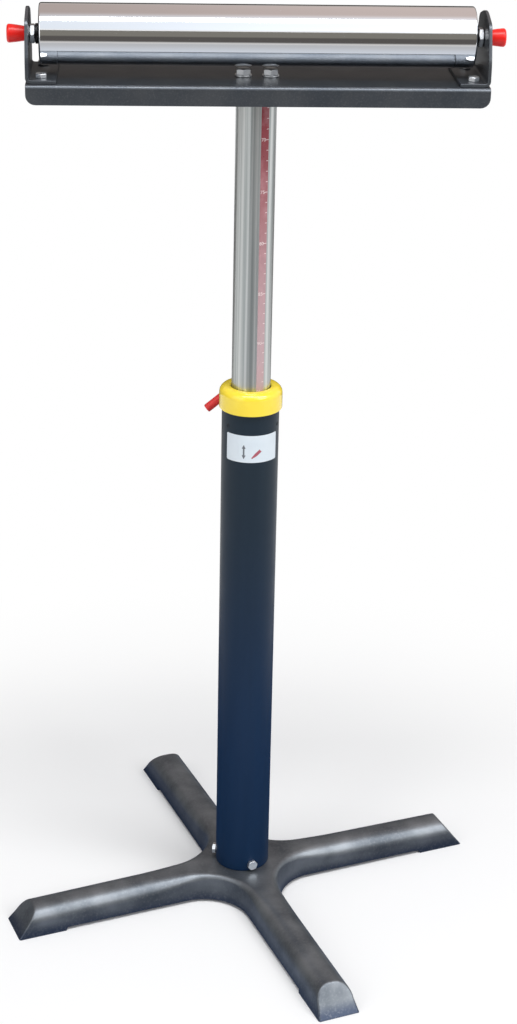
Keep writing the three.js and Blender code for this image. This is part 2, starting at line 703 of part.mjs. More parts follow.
function knob() {
  const start = bracketOuter + SEAT_GAP;
  const end = start + KNOB_LENGTH;
  const radius = KNOB_DIAMETER / 2;
  const bore = axleRadius + PRESS_GAP;
  const threadEnd = start + KNOB_THREAD_DEPTH;
  return turned([
    [bore, start],
    [KNOB_NECK_DIAMETER / 2, start],
    ...arc([radius - KNOB_ROUNDING, end - KNOB_ROUNDING], KNOB_ROUNDING, 0, Math.PI / 2, SHOULDER_STEPS),
    [0, end],
    [0, threadEnd],
    [bore, threadEnd],
  ], ROUND_MEDIUM);
}

// Materials

function finish(colour, roughness, metalness) {
  return () => new THREE.MeshStandardMaterial({ color: colour, roughness, metalness });
}

const greyPaint = finish(0x3b3f44, 0.45, 0.1);
const tubePaint = finish(0x2b323c, 0.5, 0.1);
const chrome = finish(0xd4d6da, 0.08, 1);
const satinSteel = finish(0xb5b8bc, 0.3, 1);
const zincSteel = finish(0xc3c6c8, 0.35, 1);
const darkSteel = finish(0x35363a, 0.4, 0.8);
const brass = finish(0xb08d3f, 0.35, 1);
const yellowPlastic = finish(0xf3d81c, 0.35, 0);
const redPlastic = finish(0xd3231d, 0.35, 0);
const whiteNylon = finish(0xe4e2d8, 0.5, 0);

// Assembly

const rollerStand = new THREE.Group();

function place(name, geometry, material, parent = rollerStand) {
  const mesh = new THREE.Mesh(weld(geometry), material());
  mesh.name = name;
  parent.add(mesh);
  return mesh;
}

function groupIn(parent, position, rotation) {
  const group = new THREE.Group();
  group.position.set(...position);
  group.rotation.set(...rotation);
  parent.add(group);
  return group;
}

// Base and the bolt that holds the spigot on it
const base = groupIn(rollerStand, [0, 0, 0], [0, 0, BASE_TURN]);
place('cross_base', crossBase(), greyPaint, base);
place('hub_spigot', hubSpigot(), darkSteel);
const spigotWasher = SPIGOT_BOLT_DIAMETER * WASHER_THICKNESS_RATIO;
const spigotWasherBottom = ARM_HEIGHT - BASE_WALL - SEAT_GAP - spigotWasher;
const spigotNutBottom = tubeFoot + SPIGOT_HEIGHT + SEAT_GAP;
const spigotHeadSeat = spigotWasherBottom - SEAT_GAP;
const spigotNutTop = spigotNutBottom + SPIGOT_BOLT_DIAMETER * NUT_HEIGHT_RATIO;
const spigotBoltTop = spigotNutTop + SPIGOT_BOLT_THREAD_PROUD;
place('spigot_washer', washer(SPIGOT_BOLT_DIAMETER).translate(0, 0, spigotWasherBottom), zincSteel);
place('spigot_nut', hexNut(SPIGOT_BOLT_DIAMETER).translate(0, 0, spigotNutBottom), zincSteel);
const spigotBolt = hexBolt(SPIGOT_BOLT_DIAMETER, spigotBoltTop - spigotHeadSeat);
place('spigot_bolt', spigotBolt.rotateX(Math.PI).translate(0, 0, spigotHeadSeat), zincSteel);

// Upright tube, its foot bolts, the collar and its set screws
place('outer_tube', outerTube(), tubePaint);
evenAzimuths(TUBE_BOLT_FIRST, TUBE_BOLT_COUNT).forEach((azimuth, i) => {
  const bolt = hexBolt(TUBE_BOLT_DIAMETER, OUTER_TUBE_WALL + SEAT_GAP + TUBE_BOLT_DEPTH)
    .translate(0, 0, outerTubeRadius + SEAT_GAP);
  place(`tube_bolt_${i + 1}`, outward(bolt, azimuth, hubTop + TUBE_BOLT_HEIGHT), zincSteel);
});
place('guide_collar', guideCollar(), yellowPlastic);
evenAzimuths(COLLAR_SCREW_FIRST, COLLAR_SCREW_COUNT).forEach((azimuth, i) => {
  const screw = rod(COLLAR_SCREW_DIAMETER / 2, collarScrewInner, collarScrewOuter);
  place(`collar_screw_${i + 1}`, outward(screw, azimuth, collarSeat - COLLAR_SCREW_DROP), darkSteel);
});

// Clamp on the back of the collar
place('clamp_insert', outward(clampInsert(), CLAMP_AZIMUTH, clampHeight), zincSteel);
const clamp = groupIn(rollerStand, [0, 0, clampHeight], [0, 0, CLAMP_AZIMUTH]);
const clampTurn = groupIn(clamp, [0, 0, 0], [-LEVER_DROP_ANGLE, 0, 0]);
place('clamp_screw', alongX(clampScrew()), zincSteel, clampTurn);
place('clamp_pad', alongX(rod(CLAMP_PAD_DIAMETER / 2, padInner, padOuter)), brass, clampTurn);
const lever = groupIn(clampTurn, [leverDistance, 0, 0], [0, 0, 0]);
place('clamp_lever', alongY(rod(LEVER_DIAMETER / 2, -leverTail, LEVER_LENGTH)), zincSteel, lever);
place('lever_sleeve', alongY(leverSleeve()), redPlastic, lever);

// Sliding post with its lower guide bush
const bushRadius = outerTubeBore - SLIDE_CLEARANCE;
place('guide_bush', ring(guideBore, bushRadius, bushFoot, bushFoot + BUSH_LENGTH), whiteNylon);
place('bush_circlip_lower', circlip(lowerCirclip), darkSteel);
place('bush_circlip_upper', circlip(upperCirclip), darkSteel);
place('inner_tube', ring(postBore, postRadius, postFoot, postTop), satinSteel);
place('head_plate', headPlate(), darkSteel);

// Channel and the bolts that hold it on the post
place('channel', channel(), greyPaint);
const headWasherTop = channelTop + SEAT_GAP + HEAD_BOLT_DIAMETER * WASHER_THICKNESS_RATIO;
const headBoltShank = headWasherTop - headPlateBottom; // ends just inside the head plate's thread
Object.entries(headBoltPlaces).forEach(([side, x]) => {
  const flat = washer(HEAD_BOLT_DIAMETER).translate(x, 0, channelTop + SEAT_GAP);
  place(`head_washer_${side}`, flat, zincSteel);
  const bolt = hexBolt(HEAD_BOLT_DIAMETER, headBoltShank).translate(x, 0, headWasherTop + SEAT_GAP);
  place(`head_bolt_${side}`, bolt, zincSteel);
});

// Brackets with their foot bolts and nuts
place('bracket_right', bracket(), greyPaint);
place('bracket_left', mirroredX(bracket()), greyPaint);
const footBoltSeat = bracketFoot + BRACKET_THICKNESS + SEAT_GAP;
const footNutBottom = webBottom - SEAT_GAP - FOOT_BOLT_DIAMETER * NUT_HEIGHT_RATIO;
const footBoltShank = footBoltSeat - footNutBottom + FOOT_BOLT_THREAD_PROUD;
Object.entries(footBoltPlaces).forEach(([corner, [x, y]]) => {
  const bolt = hexBolt(FOOT_BOLT_DIAMETER, footBoltShank).translate(x, y, footBoltSeat);
  place(`foot_bolt_${corner}`, bolt, zincSteel);
  place(`foot_nut_${corner}`, hexNut(FOOT_BOLT_DIAMETER).translate(x, y, footNutBottom), zincSteel);
});

// Axle, roller and knobs
const axleLine = groupIn(rollerStand, [0, 0, axleHeight], [0, 0, 0]);
place('axle', alongX(rod(axleRadius, -axleEnd, axleEnd)), zincSteel, axleLine);
place('roller_tube', alongX(rollerTube()), chrome, axleLine);
const rightPieces = {
  roller_end: [rollerEndCap, darkSteel],
  bearing_outer: [() => bearingRing(outerRingRadius, BEARING_DIAMETER / 2), satinSteel],
  bearing_balls: [bearingBalls, satinSteel],
  bearing_inner: [() => bearingRing(axleRadius + SEAT_GAP, innerRingRadius), satinSteel],
  axle_spacer: [axleSpacer, darkSteel],
  axle_nut: [() => hexNut(AXLE_DIAMETER, AXLE_NUT_THICKNESS).translate(0, 0, nutInner), zincSteel],
  knob: [knob, redPlastic],
};
Object.entries(rightPieces).forEach(([name, [make, material]]) => {
  const right = alongX(make());
  place(`${name}_right`, right, material, axleLine);
  place(`${name}_left`, mirroredX(right), material, axleLine);
});

export default rollerStand;
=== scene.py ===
import json
import math

import bmesh
import bpy
from mathutils import Euler, Matrix, Vector


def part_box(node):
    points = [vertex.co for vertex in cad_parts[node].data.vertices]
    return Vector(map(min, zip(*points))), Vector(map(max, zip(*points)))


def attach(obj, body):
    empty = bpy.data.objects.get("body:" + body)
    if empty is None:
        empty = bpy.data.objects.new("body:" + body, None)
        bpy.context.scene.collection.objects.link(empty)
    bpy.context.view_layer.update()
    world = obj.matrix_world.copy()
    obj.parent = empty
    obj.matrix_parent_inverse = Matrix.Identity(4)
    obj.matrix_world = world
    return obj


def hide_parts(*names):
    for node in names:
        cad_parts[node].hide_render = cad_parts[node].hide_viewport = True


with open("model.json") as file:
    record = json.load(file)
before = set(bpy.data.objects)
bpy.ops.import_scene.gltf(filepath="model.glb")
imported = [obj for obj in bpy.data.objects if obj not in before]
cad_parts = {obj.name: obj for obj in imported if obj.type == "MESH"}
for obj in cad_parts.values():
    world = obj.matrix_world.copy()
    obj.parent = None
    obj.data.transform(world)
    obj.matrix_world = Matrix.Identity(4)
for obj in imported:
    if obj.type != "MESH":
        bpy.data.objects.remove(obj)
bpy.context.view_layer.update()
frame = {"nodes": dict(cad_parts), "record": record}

MM = 0.001  # one millimetre in metres; every size below is in millimetres unless it says metres
BODY_OF = {
    node: body
    for body, members in frame["record"]["behaviour"]["bodies"].items()
    for node in members
}

# Photo camera
PHOTO_HEIGHT = 1024  # pixels, the longer side
FOCAL_PIXELS = 2101.2
SENSOR_LONG_SIDE = 36
CAMERA_PLACE = (-109.7, -1941.1, 1303.7)
CAMERA_YAW = math.radians(3.531)
CAMERA_PITCH = math.radians(23.913)  # below the horizon
CAMERA_ROLL = math.radians(1.224)

# Cross base
BASE_TURN = math.radians(19.5)
ARM_COUNT = 4
ARM_REACH = 259
ARM_WIDTH = 44.4
ARM_HEIGHT = 30
ARM_END_LEAN = 23 / 30
ARM_END_DROP = 2
ARM_SIDE_LEAN = 0.22
ARM_CROTCH_RADIUS = 48
HUB_SHOULDER = 5
ARM_SHOULDER = 17
ARM_SHOULDER_START = 118
CROTCH_GROWTH = 0.45
CROTCH_SOFTNESS = 0.25
BASE_WALL = 4
FOOT_LENGTH = 53
FOOT_STEP = 3.5
END_EDGE = 1.8
FLANK_STEPS = 5
CROTCH_STEPS = 20
SHOULDER_STEPS = 9

# Tubes, collar and label
TUBE_DIAMETER = 57
TUBE_WALL = 3
TUBE_BOLT_FIRST = math.radians(288.5)
TUBE_BOLT_COUNT = 3
COLLAR_DIAMETER = 62.6
COLLAR_ROUNDING = 7
COLLAR_SCREW_FIRST = math.radians(216.6)
COLLAR_SCREW_COUNT = 3
COLLAR_SCREW_DIAMETER = 4
POST_DIAMETER = 38.5
POST_WALL = 3
GUIDE_BORE = 39.4
LABEL_AZIMUTH = math.radians(272)
LABEL_WIDTH = 57
LABEL_HEIGHT = 28.5
LABEL_TOP = 535.5
SCALE_AZIMUTH = math.radians(294)
SCALE_WIDTH = 8
SCALE_LENGTH = 396
FILM = 0.1

# Clamp
CLAMP_AZIMUTH = math.radians(95)
CLAMP_DROP = 10.75
INSERT_START = 22.2  # from the post's axis
INSERT_FLANGE = (31.5, 33.5)
INSERT_DIAMETER = 14
INSERT_FLANGE_DIAMETER = 18
CLAMP_HEAD = (38.5, 53.5)
CLAMP_HEAD_DIAMETER = 17
CLAMP_STUD_DIAMETER = 10
CLAMP_STUD_START = 22.2
LEVER_DROP = math.radians(39)
LEVER_DIAMETER = 6
LEVER_REACH = (-4.25, 47)
SLEEVE_DIAMETER = 8.7
SLEEVE_REACH = (12.2, 49.2)

# Head
SHEET = 3
CHANNEL_BEND = 4
CHANNEL_CORNER = 9
BRACKET_BEND = 5
BRACKET_TAPER_START = 20
BRACKET_SHOULDER_DEPTH = 60
BRACKET_SHOULDER_DROP = 7
BRACKET_TOP_DEPTH = 12
BRACKET_CORNER = 5
HEX_FLATS_RATIO = 1.63
HEX_HEAD_RATIO = 0.65
ROLLER_DIAMETER = 56
ROLLER_WALL = 3
ROLLER_EDGE = 2
AXLE_DIAMETER = 10

# Studio, in metres
FLOOR_HALF = 20
FLOOR_LIT = 0.2
FLOOR_PLAIN = 0.75
FRONT_WALL = -2.2
FRONT_WALL_HEIGHT = 1.89
FRONT_WALL_FOOT = 0.4
FRONT_WALL_HALF = 1.2
FLOOR_CARD = -0.3
ROOM_HALF = 4
ROOM_FRONT = -4.5
ROOM_BACK = 4
ROOM_HEIGHT = 3.35
REAR_BOARD = 1.3
REAR_BOARD_HEIGHT = 0.42
CEILING_GLOW = 1.35
PANEL_GLOW = 2.8
ROOM_LIGHT = (0.4, 0.4, 0.405, 1)

# Fineness of the meshes
ROUND_FINE = 144
ROUND_MEDIUM = 72
ROUND_SMALL = 40
ROUNDING_STEPS = 5
HEX_CUTS = 7
SHARP_ANGLE = math.radians(38)

# Sockets of the colour mix node
MIX_SHARE, MIX_FIRST, MIX_SECOND, MIX_RESULT = 0, 6, 7, 2


# Materials

def linear(hex_colour):
    """Linear colour of an sRGB hex value."""
    parts = [int(hex_colour[i:i + 2], 16) / 255 for i in (1, 3, 5)]
    return [c / 12.92 if c <= 0.04045 else ((c + 0.055) / 1.055) ** 2.4 for c in parts] + [1.0]


def repeats(size):
    """Pattern scale whose features are about this many millimetres across."""
    return 1 / (size * MM)


def add(tree, kind, settings, inputs):
    """Adds a node, gives it its settings, and sets or links its inputs."""
    node = tree.nodes.new(kind)
    for name, value in settings.items():
        setattr(node, name, value)
    for name, value in inputs.items():
        if isinstance(value, bpy.types.NodeSocket):
            tree.links.new(value, node.inputs[name])
        else:
            node.inputs[name].default_value = value
    return node


def new_finish(name, constants):
    """A material with constant values on its shader's sockets, its node tree, shader and coordinates."""
    material = bpy.data.materials.new(name)
    material.use_nodes = True
    tree = material.node_tree
    shader = tree.nodes["Principled BSDF"]
    for socket, value in constants.items():
        shader.inputs[socket].default_value = value
    place = add(tree, "ShaderNodeTexCoord", {}, {}).outputs["Object"]
    return material, tree, shader, place


def base_enamel():
    # Coarse enamel with aluminium flake on the pressed base: bluish grey with a broad soft sheen; the darker navy at
    # the skirt is a painted reflection of a blue floor
    return flake_enamel("grey_flake_enamel", ("#52585f", "#7e8388", "#3a4457"), (2.6, 0.4), 0.75, (0.36, 0.48), 0.22)


def head_enamel():
    # Smoother enamel with a little flake on the bent sheets of the head: charcoal with a crisper shine
    return flake_enamel("charcoal_enamel", ("#474d55", "#585c61", "#474d55"), (1.6, 0.25), 0.7, (0.27, 0.38), 0.1)


def flake_enamel(name, tones, flakes, metallic, sheen, peel):
    """An enamel with metal flake: clouds of tone, a navy tone near the floor that is a painted reflection, flakes and
    an orange peel.
    """
    material, tree, shader, place = new_finish(name, {"Metallic": metallic, "Specular IOR Level": 0.8})
    deep, pale, painted_reflection_tone = tones
    flake_size, flake_share = flakes
    cloud = add(tree, "ShaderNodeTexNoise", {}, {"Vector": place, "Scale": repeats(34), "Detail": 6})
    spread = add(tree, "ShaderNodeMapRange", {}, {"Value": cloud.outputs["Fac"], "From Min": 0.3, "From Max": 0.7})
    tone = add(tree, "ShaderNodeMix", {"data_type": "RGBA"}, {
        MIX_SHARE: spread.outputs["Result"], MIX_FIRST: linear(deep), MIX_SECOND: linear(pale)})
    # Painted reflection: below 14 mm the tone turns to the skirt tone, standing in for a blue floor seen in the lower
    # sides
    height = add(tree, "ShaderNodeSeparateXYZ", {}, {"Vector": place})
    rise = add(tree, "ShaderNodeMapRange", {"interpolation_type": "SMOOTHSTEP"}, {
        "Value": height.outputs["Z"], "From Min": 2 * MM, "From Max": 14 * MM})
    tone_with_painted_reflection = add(tree, "ShaderNodeMix", {"data_type": "RGBA"}, {
        MIX_SHARE: rise.outputs["Result"], MIX_FIRST: linear(painted_reflection_tone), MIX_SECOND: tone.outputs[MIX_RESULT]})
    flake = add(tree, "ShaderNodeTexNoise", {}, {"Vector": place, "Scale": repeats(flake_size), "Detail": 2})
    glint = add(tree, "ShaderNodeMapRange", {}, {
        "Value": flake.outputs["Fac"], "From Min": 0.5, "From Max": 0.85, "To Max": flake_share})
    flaked = add(tree, "ShaderNodeMix", {"data_type": "RGBA"}, {
        MIX_SHARE: glint.outputs["Result"], MIX_FIRST: tone_with_painted_reflection.outputs[MIX_RESULT], MIX_SECOND: linear("#868b90")})
    tree.links.new(flaked.outputs[MIX_RESULT], shader.inputs["Base Color"])
    rub = add(tree, "ShaderNodeTexNoise", {}, {"Vector": place, "Scale": repeats(24), "Detail": 5})
    gloss = add(tree, "ShaderNodeMapRange", {}, {
        "Value": rub.outputs["Fac"], "To Min": sheen[0], "To Max": sheen[1]})
    tree.links.new(gloss.outputs["Result"], shader.inputs["Roughness"])
    ripple = add(tree, "ShaderNodeTexNoise", {}, {"Vector": place, "Scale": repeats(2.4), "Detail": 2})
    relief = add(tree, "ShaderNodeBump", {}, {
        "Strength": peel, "Distance": 0.25 * MM, "Height": ripple.outputs["Fac"]})
    tree.links.new(relief.outputs["Normal"], shader.inputs["Normal"])
    return material


def blue_black_enamel():
    # Enamel on drawn tube: smooth and slate black; the deep navy towards the foot is a painted reflection of a blue
    # floor
    material, tree, shader, place = new_finish("blue_black_enamel", {"IOR": 1.5, "Specular IOR Level": 0.18})
    # Painted reflection: slate above 520 mm turns to navy below 150 mm, standing in for a blue floor reflected in the
    # tube
    height = add(tree, "ShaderNodeSeparateXYZ", {}, {"Vector": place})
    rise = add(tree, "ShaderNodeMapRange", {"interpolation_type": "SMOOTHSTEP"}, {
        "Value": height.outputs["Z"], "From Min": 150 * MM, "From Max": 520 * MM})
    tone = add(tree, "ShaderNodeMix", {"data_type": "RGBA"}, {
        MIX_SHARE: rise.outputs["Result"], MIX_FIRST: linear("#0b2a4b"), MIX_SECOND: linear("#222f3a")})
    streak = add(tree, "ShaderNodeMapping", {}, {"Vector": place, "Scale": (1, 1, 0.05)})
    drawn = add(tree, "ShaderNodeTexNoise", {}, {
        "Vector": streak.outputs["Vector"], "Scale": repeats(9), "Detail": 4})
    shade = add(tree, "ShaderNodeMapRange", {}, {"Value": drawn.outputs["Fac"], "To Max": 0.3})
    varied = add(tree, "ShaderNodeMix", {"data_type": "RGBA"}, {
        MIX_SHARE: shade.outputs["Result"], MIX_FIRST: tone.outputs[MIX_RESULT], MIX_SECOND: linear("#101a26")})
    tree.links.new(varied.outputs[MIX_RESULT], shader.inputs["Base Color"])
    rub = add(tree, "ShaderNodeTexNoise", {}, {"Vector": place, "Scale": repeats(16), "Detail": 5})
    sheen = add(tree, "ShaderNodeMapRange", {}, {"Value": rub.outputs["Fac"], "To Min": 0.32, "To Max": 0.46})
    tree.links.new(sheen.outputs["Result"], shader.inputs["Roughness"])
    peel = add(tree, "ShaderNodeTexNoise", {}, {"Vector": place, "Scale": repeats(2), "Detail": 2})
    relief = add(tree, "ShaderNodeBump", {}, {
        "Strength": 0.08, "Distance": 0.2 * MM, "Height": peel.outputs["Fac"]})
    tree.links.new(relief.outputs["Normal"], shader.inputs["Normal"])
    return material


def polished_chrome():
    # Chrome plate on a ground tube: a clear mirror, with faint smears and a slight waviness
    material, tree, shader, place = new_finish("polished_chrome", {
        "Base Color": linear("#ebedf0"), "Metallic": 1.0})
    smear = add(tree, "ShaderNodeMapping", {}, {"Vector": place, "Scale": (0.15, 1, 1)})
    wiped = add(tree, "ShaderNodeTexNoise", {}, {
        "Vector": smear.outputs["Vector"], "Scale": repeats(14), "Detail": 5})
    gloss = add(tree, "ShaderNodeMapRange", {}, {"Value": wiped.outputs["Fac"], "To Min": 0.03, "To Max": 0.1})
    tree.links.new(gloss.outputs["Result"], shader.inputs["Roughness"])
    wave = add(tree, "ShaderNodeTexNoise", {}, {"Vector": place, "Scale": repeats(38), "Detail": 1})
    relief = add(tree, "ShaderNodeBump", {}, {
        "Strength": 0.25, "Distance": 0.15 * MM, "Height": wave.outputs["Fac"]})
    tree.links.new(relief.outputs["Normal"], shader.inputs["Normal"])
    return material


def satin_chrome():
    # Drawn tube with thin satin chrome: grey metal with long die lines down its length; the strong pale and dark bands
    # in its base colour are partly die lines and partly painted reflection streaks
    material, tree, shader, place = new_finish("satin_chrome", {"Metallic": 1.0})
    drawn = add(tree, "ShaderNodeMapping", {}, {"Vector": place, "Scale": (1, 1, 0.006)})
    # Partly painted reflection: bands of pale and dark grey along the length stand for die lines and also for reflected
    # streaks
    die_lines_and_painted_streaks = add(tree, "ShaderNodeTexNoise", {}, {
        "Vector": drawn.outputs["Vector"], "Scale": repeats(3.2), "Detail": 2})
    share = add(tree, "ShaderNodeMapRange", {}, {"Value": die_lines_and_painted_streaks.outputs["Fac"], "From Min": 0.36, "From Max": 0.64})
    tone = add(tree, "ShaderNodeMix", {"data_type": "RGBA"}, {
        MIX_SHARE: share.outputs["Result"], MIX_FIRST: linear("#9da3a3"), MIX_SECOND: linear("#d2d5d4")})
    tree.links.new(tone.outputs[MIX_RESULT], shader.inputs["Base Color"])
    line = add(tree, "ShaderNodeTexNoise", {}, {
        "Vector": drawn.outputs["Vector"], "Scale": repeats(1.1), "Detail": 3})
    gloss = add(tree, "ShaderNodeMapRange", {}, {"Value": line.outputs["Fac"], "To Min": 0.28, "To Max": 0.44})
    tree.links.new(gloss.outputs["Result"], shader.inputs["Roughness"])
    relief = add(tree, "ShaderNodeBump", {}, {
        "Strength": 0.15, "Distance": 0.1 * MM, "Height": line.outputs["Fac"]})
    tree.links.new(relief.outputs["Normal"], shader.inputs["Normal"])
    return material


def bright_zinc():
    # Zinc plate on turned and pressed steel: pale bluish metal, a little cloudy
    return plated_metal("bright_zinc", "#ced2d6", "#e8e9ea", 0.3, 0.48)


def black_oxide():
    # Blackened steel: dark metal with a dull oily sheen
    return plated_metal("black_oxide", "#2b2c2e", "#3d3e40", 0.32, 0.5)


def ground_bearing_steel():
    # Ground and hardened bearing rings: clean bright metal
    return plated_metal("ground_bearing_steel", "#c4c6c9", "#dadcde", 0.12, 0.25)


def turned_brass():
    # Machined brass: warm yellow metal with a soft shine
    return plated_metal("turned_brass", "#a9833a", "#c9a452", 0.25, 0.4)


def plated_metal(name, dark, light, smoothest, roughest):
    """A metal whose tone and shine cloud over a few millimetres."""
    material, tree, shader, place = new_finish(name, {"Metallic": 1.0})
    cloud = add(tree, "ShaderNodeTexNoise", {}, {"Vector": place, "Scale": repeats(5), "Detail": 4})
    tone = add(tree, "ShaderNodeMix", {"data_type": "RGBA"}, {
        MIX_SHARE: cloud.outputs["Fac"], MIX_FIRST: linear(dark), MIX_SECOND: linear(light)})
    tree.links.new(tone.outputs[MIX_RESULT], shader.inputs["Base Color"])
    gloss = add(tree, "ShaderNodeMapRange", {}, {
        "Value": cloud.outputs["Fac"], "To Min": smoothest, "To Max": roughest})
    tree.links.new(gloss.outputs["Result"], shader.inputs["Roughness"])
    grit = add(tree, "ShaderNodeTexNoise", {}, {"Vector": place, "Scale": repeats(0.7), "Detail": 2})
    relief = add(tree, "ShaderNodeBump", {}, {
        "Strength": 0.1, "Distance": 0.05 * MM, "Height": grit.outputs["Fac"]})
    tree.links.new(relief.outputs["Normal"], shader.inputs["Normal"])
    return material


def yellow_acetal():
    # Injection moulded acetal: full yellow, waxy gloss, a fine moulded texture
    return moulded_plastic("yellow_acetal", "#f6d72f", "#fce244", 1.48, 0.18, 0.28, coat=0.6)


def red_polypropylene():
    # Injection moulded knobs: clear red with a soft gloss
    return moulded_plastic("red_polypropylene", "#e6130b", "#f02015", 1.49, 0.26, 0.4)


def red_vinyl():
    # Dipped vinyl sleeve: red, rubbery and half matt
    return moulded_plastic("red_vinyl", "#dd2c2c", "#e63b39", 1.52, 0.36, 0.5)


def white_nylon():
    # Moulded nylon: milky off-white with a dull gloss
    return moulded_plastic("white_nylon", "#dcd9cd", "#e9e7dd", 1.53, 0.4, 0.55)


def black_rubber():
    # Bearing seal rubber: matt black
    return moulded_plastic("black_rubber", "#1c1c1d", "#2a2a2b", 1.52, 0.55, 0.7)


def moulded_plastic(name, deep, pale, ior, smoothest, roughest, coat=0.0):
    """A plastic with a fine moulded texture and slight drifts of tone and shine."""
    material, tree, shader, place = new_finish(name, {"IOR": ior, "Coat Weight": coat, "Coat Roughness": 0.12})
    drift = add(tree, "ShaderNodeTexNoise", {}, {"Vector": place, "Scale": repeats(18), "Detail": 3})
    tone = add(tree, "ShaderNodeMix", {"data_type": "RGBA"}, {
        MIX_SHARE: drift.outputs["Fac"], MIX_FIRST: linear(deep), MIX_SECOND: linear(pale)})
    tree.links.new(tone.outputs[MIX_RESULT], shader.inputs["Base Color"])
    gloss = add(tree, "ShaderNodeMapRange", {}, {
        "Value": drift.outputs["Fac"], "To Min": smoothest, "To Max": roughest})
    tree.links.new(gloss.outputs["Result"], shader.inputs["Roughness"])
    grain = add(tree, "ShaderNodeTexNoise", {}, {"Vector": place, "Scale": repeats(0.9), "Detail": 2})
    relief = add(tree, "ShaderNodeBump", {}, {
        "Strength": 0.12, "Distance": 0.06 * MM, "Height": grain.outputs["Fac"]})
    tree.links.new(relief.outputs["Normal"], shader.inputs["Normal"])
    return material


def label_film():
    # Printed vinyl film: white with a thin clear coat, very slightly soiled
    return moulded_plastic("label_film", "#cedae3", "#dee6ed", 1.5, 0.25, 0.4)


def label_grey_ink():
    # Screen printed ink on the label: dark grey, matt
    return moulded_plastic("label_grey_ink", "#5b5f66", "#74787f", 1.5, 0.45, 0.6)


def label_red_ink():
    # Screen printed ink on the label: dull crimson, matt
    return moulded_plastic("label_red_ink", "#a04a59", "#b3606d", 1.5, 0.45, 0.6)


def scale_film():
    # Printed height scale under a clear coat: strong red above, rubbed pink where the collar slides
    material, tree, shader, place = new_finish("scale_film", {"IOR": 1.5})
    height = add(tree, "ShaderNodeSeparateXYZ", {}, {"Vector": place})
    fade = add(tree, "ShaderNodeMapRange", {"interpolation_type": "SMOOTHSTEP"}, {
        "Value": height.outputs["Z"], "From Min": 600 * MM, "From Max": 870 * MM})
    tone = add(tree, "ShaderNodeMix", {"data_type": "RGBA"}, {
        MIX_SHARE: fade.outputs["Result"], MIX_FIRST: linear("#b89ea2"), MIX_SECOND: linear("#8a2733")})
    rub = add(tree, "ShaderNodeTexNoise", {}, {"Vector": place, "Scale": repeats(12), "Detail": 4})
    worn = add(tree, "ShaderNodeMapRange", {}, {
        "Value": rub.outputs["Fac"], "From Min": 0.45, "From Max": 0.8, "To Max": 0.5})
    shade = add(tree, "ShaderNodeMix", {"data_type": "RGBA"}, {
        MIX_SHARE: worn.outputs["Result"], MIX_FIRST: tone.outputs[MIX_RESULT], MIX_SECOND: linear("#c79aa0")})
    tree.links.new(shade.outputs[MIX_RESULT], shader.inputs["Base Color"])
    gloss = add(tree, "ShaderNodeMapRange", {}, {"Value": rub.outputs["Fac"], "To Min": 0.22, "To Max": 0.4})
    tree.links.new(gloss.outputs["Result"], shader.inputs["Roughness"])
    return material


def scale_ink():
    # White print of the scale's lines and numbers
    return moulded_plastic("scale_ink", "#dcc5c6", "#efe2e0", 1.5, 0.3, 0.45)


# Mesh helpers, all in millimetres

def span(node):
    """Lowest and highest corner of a CAD node at rest."""
    painted_reflection_tone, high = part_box(node)
    return painted_reflection_tone / MM, high / MM


def pull(bm, edges):
    """Extrudes edges in place and returns the new vertices and the new rim edges."""
    made = bmesh.ops.extrude_edge_only(bm, edges=edges)["geom"]
    verts = {part for part in made if isinstance(part, bmesh.types.BMVert)}
    rim = [part for part in made if isinstance(part, bmesh.types.BMEdge) and verts.issuperset(part.verts)]
    return list(verts), rim


def round_corners(bm, corners, radius, steps=ROUNDING_STEPS):
    """Rounds corners of a wire or of a sheet's outline."""
    bmesh.ops.bevel(bm, geom=corners, offset=radius, affect="VERTICES", segments=steps, profile=0.5, material=-1)


def turned(profile, steps=ROUND_MEDIUM):
    """Spins a closed profile of (radius, height, rounding) corners about +Z."""
    bm = bmesh.new()
    corners = [bm.verts.new((radius, 0, height)) for radius, height, _ in profile]
    for first, second in zip(corners, corners[1:] + corners[:1]):
        if first.co.x > 0 or second.co.x > 0:
            bm.edges.new((first, second))
    for corner, (_, _, rounding) in zip(corners, profile):
        if rounding:
            round_corners(bm, [corner], rounding)
    bmesh.ops.spin(
        bm, geom=bm.verts[:] + bm.edges[:], cent=(0, 0, 0), axis=(0, 0, 1), angle=math.tau, steps=steps,
        use_merge=True)
    bmesh.ops.remove_doubles(bm, verts=bm.verts, dist=1e-4)
    bmesh.ops.recalc_face_normals(bm, faces=bm.faces)
    return bm


def tube(radius, bore, painted_reflection_tone, high, rounding, steps=ROUND_MEDIUM):
    """A round tube or ring along +Z with eased edges."""
    return turned([(bore, painted_reflection_tone, rounding), (radius, painted_reflection_tone, rounding), (radius, high, rounding),
                   (bore, high, rounding)], steps)


def rod(radius, painted_reflection_tone, high, rounding, steps=ROUND_SMALL):
    """A solid rod along +Z with eased ends."""
    return turned([(0, painted_reflection_tone, 0), (radius, painted_reflection_tone, rounding), (radius, high, rounding), (0, high, 0)], steps)


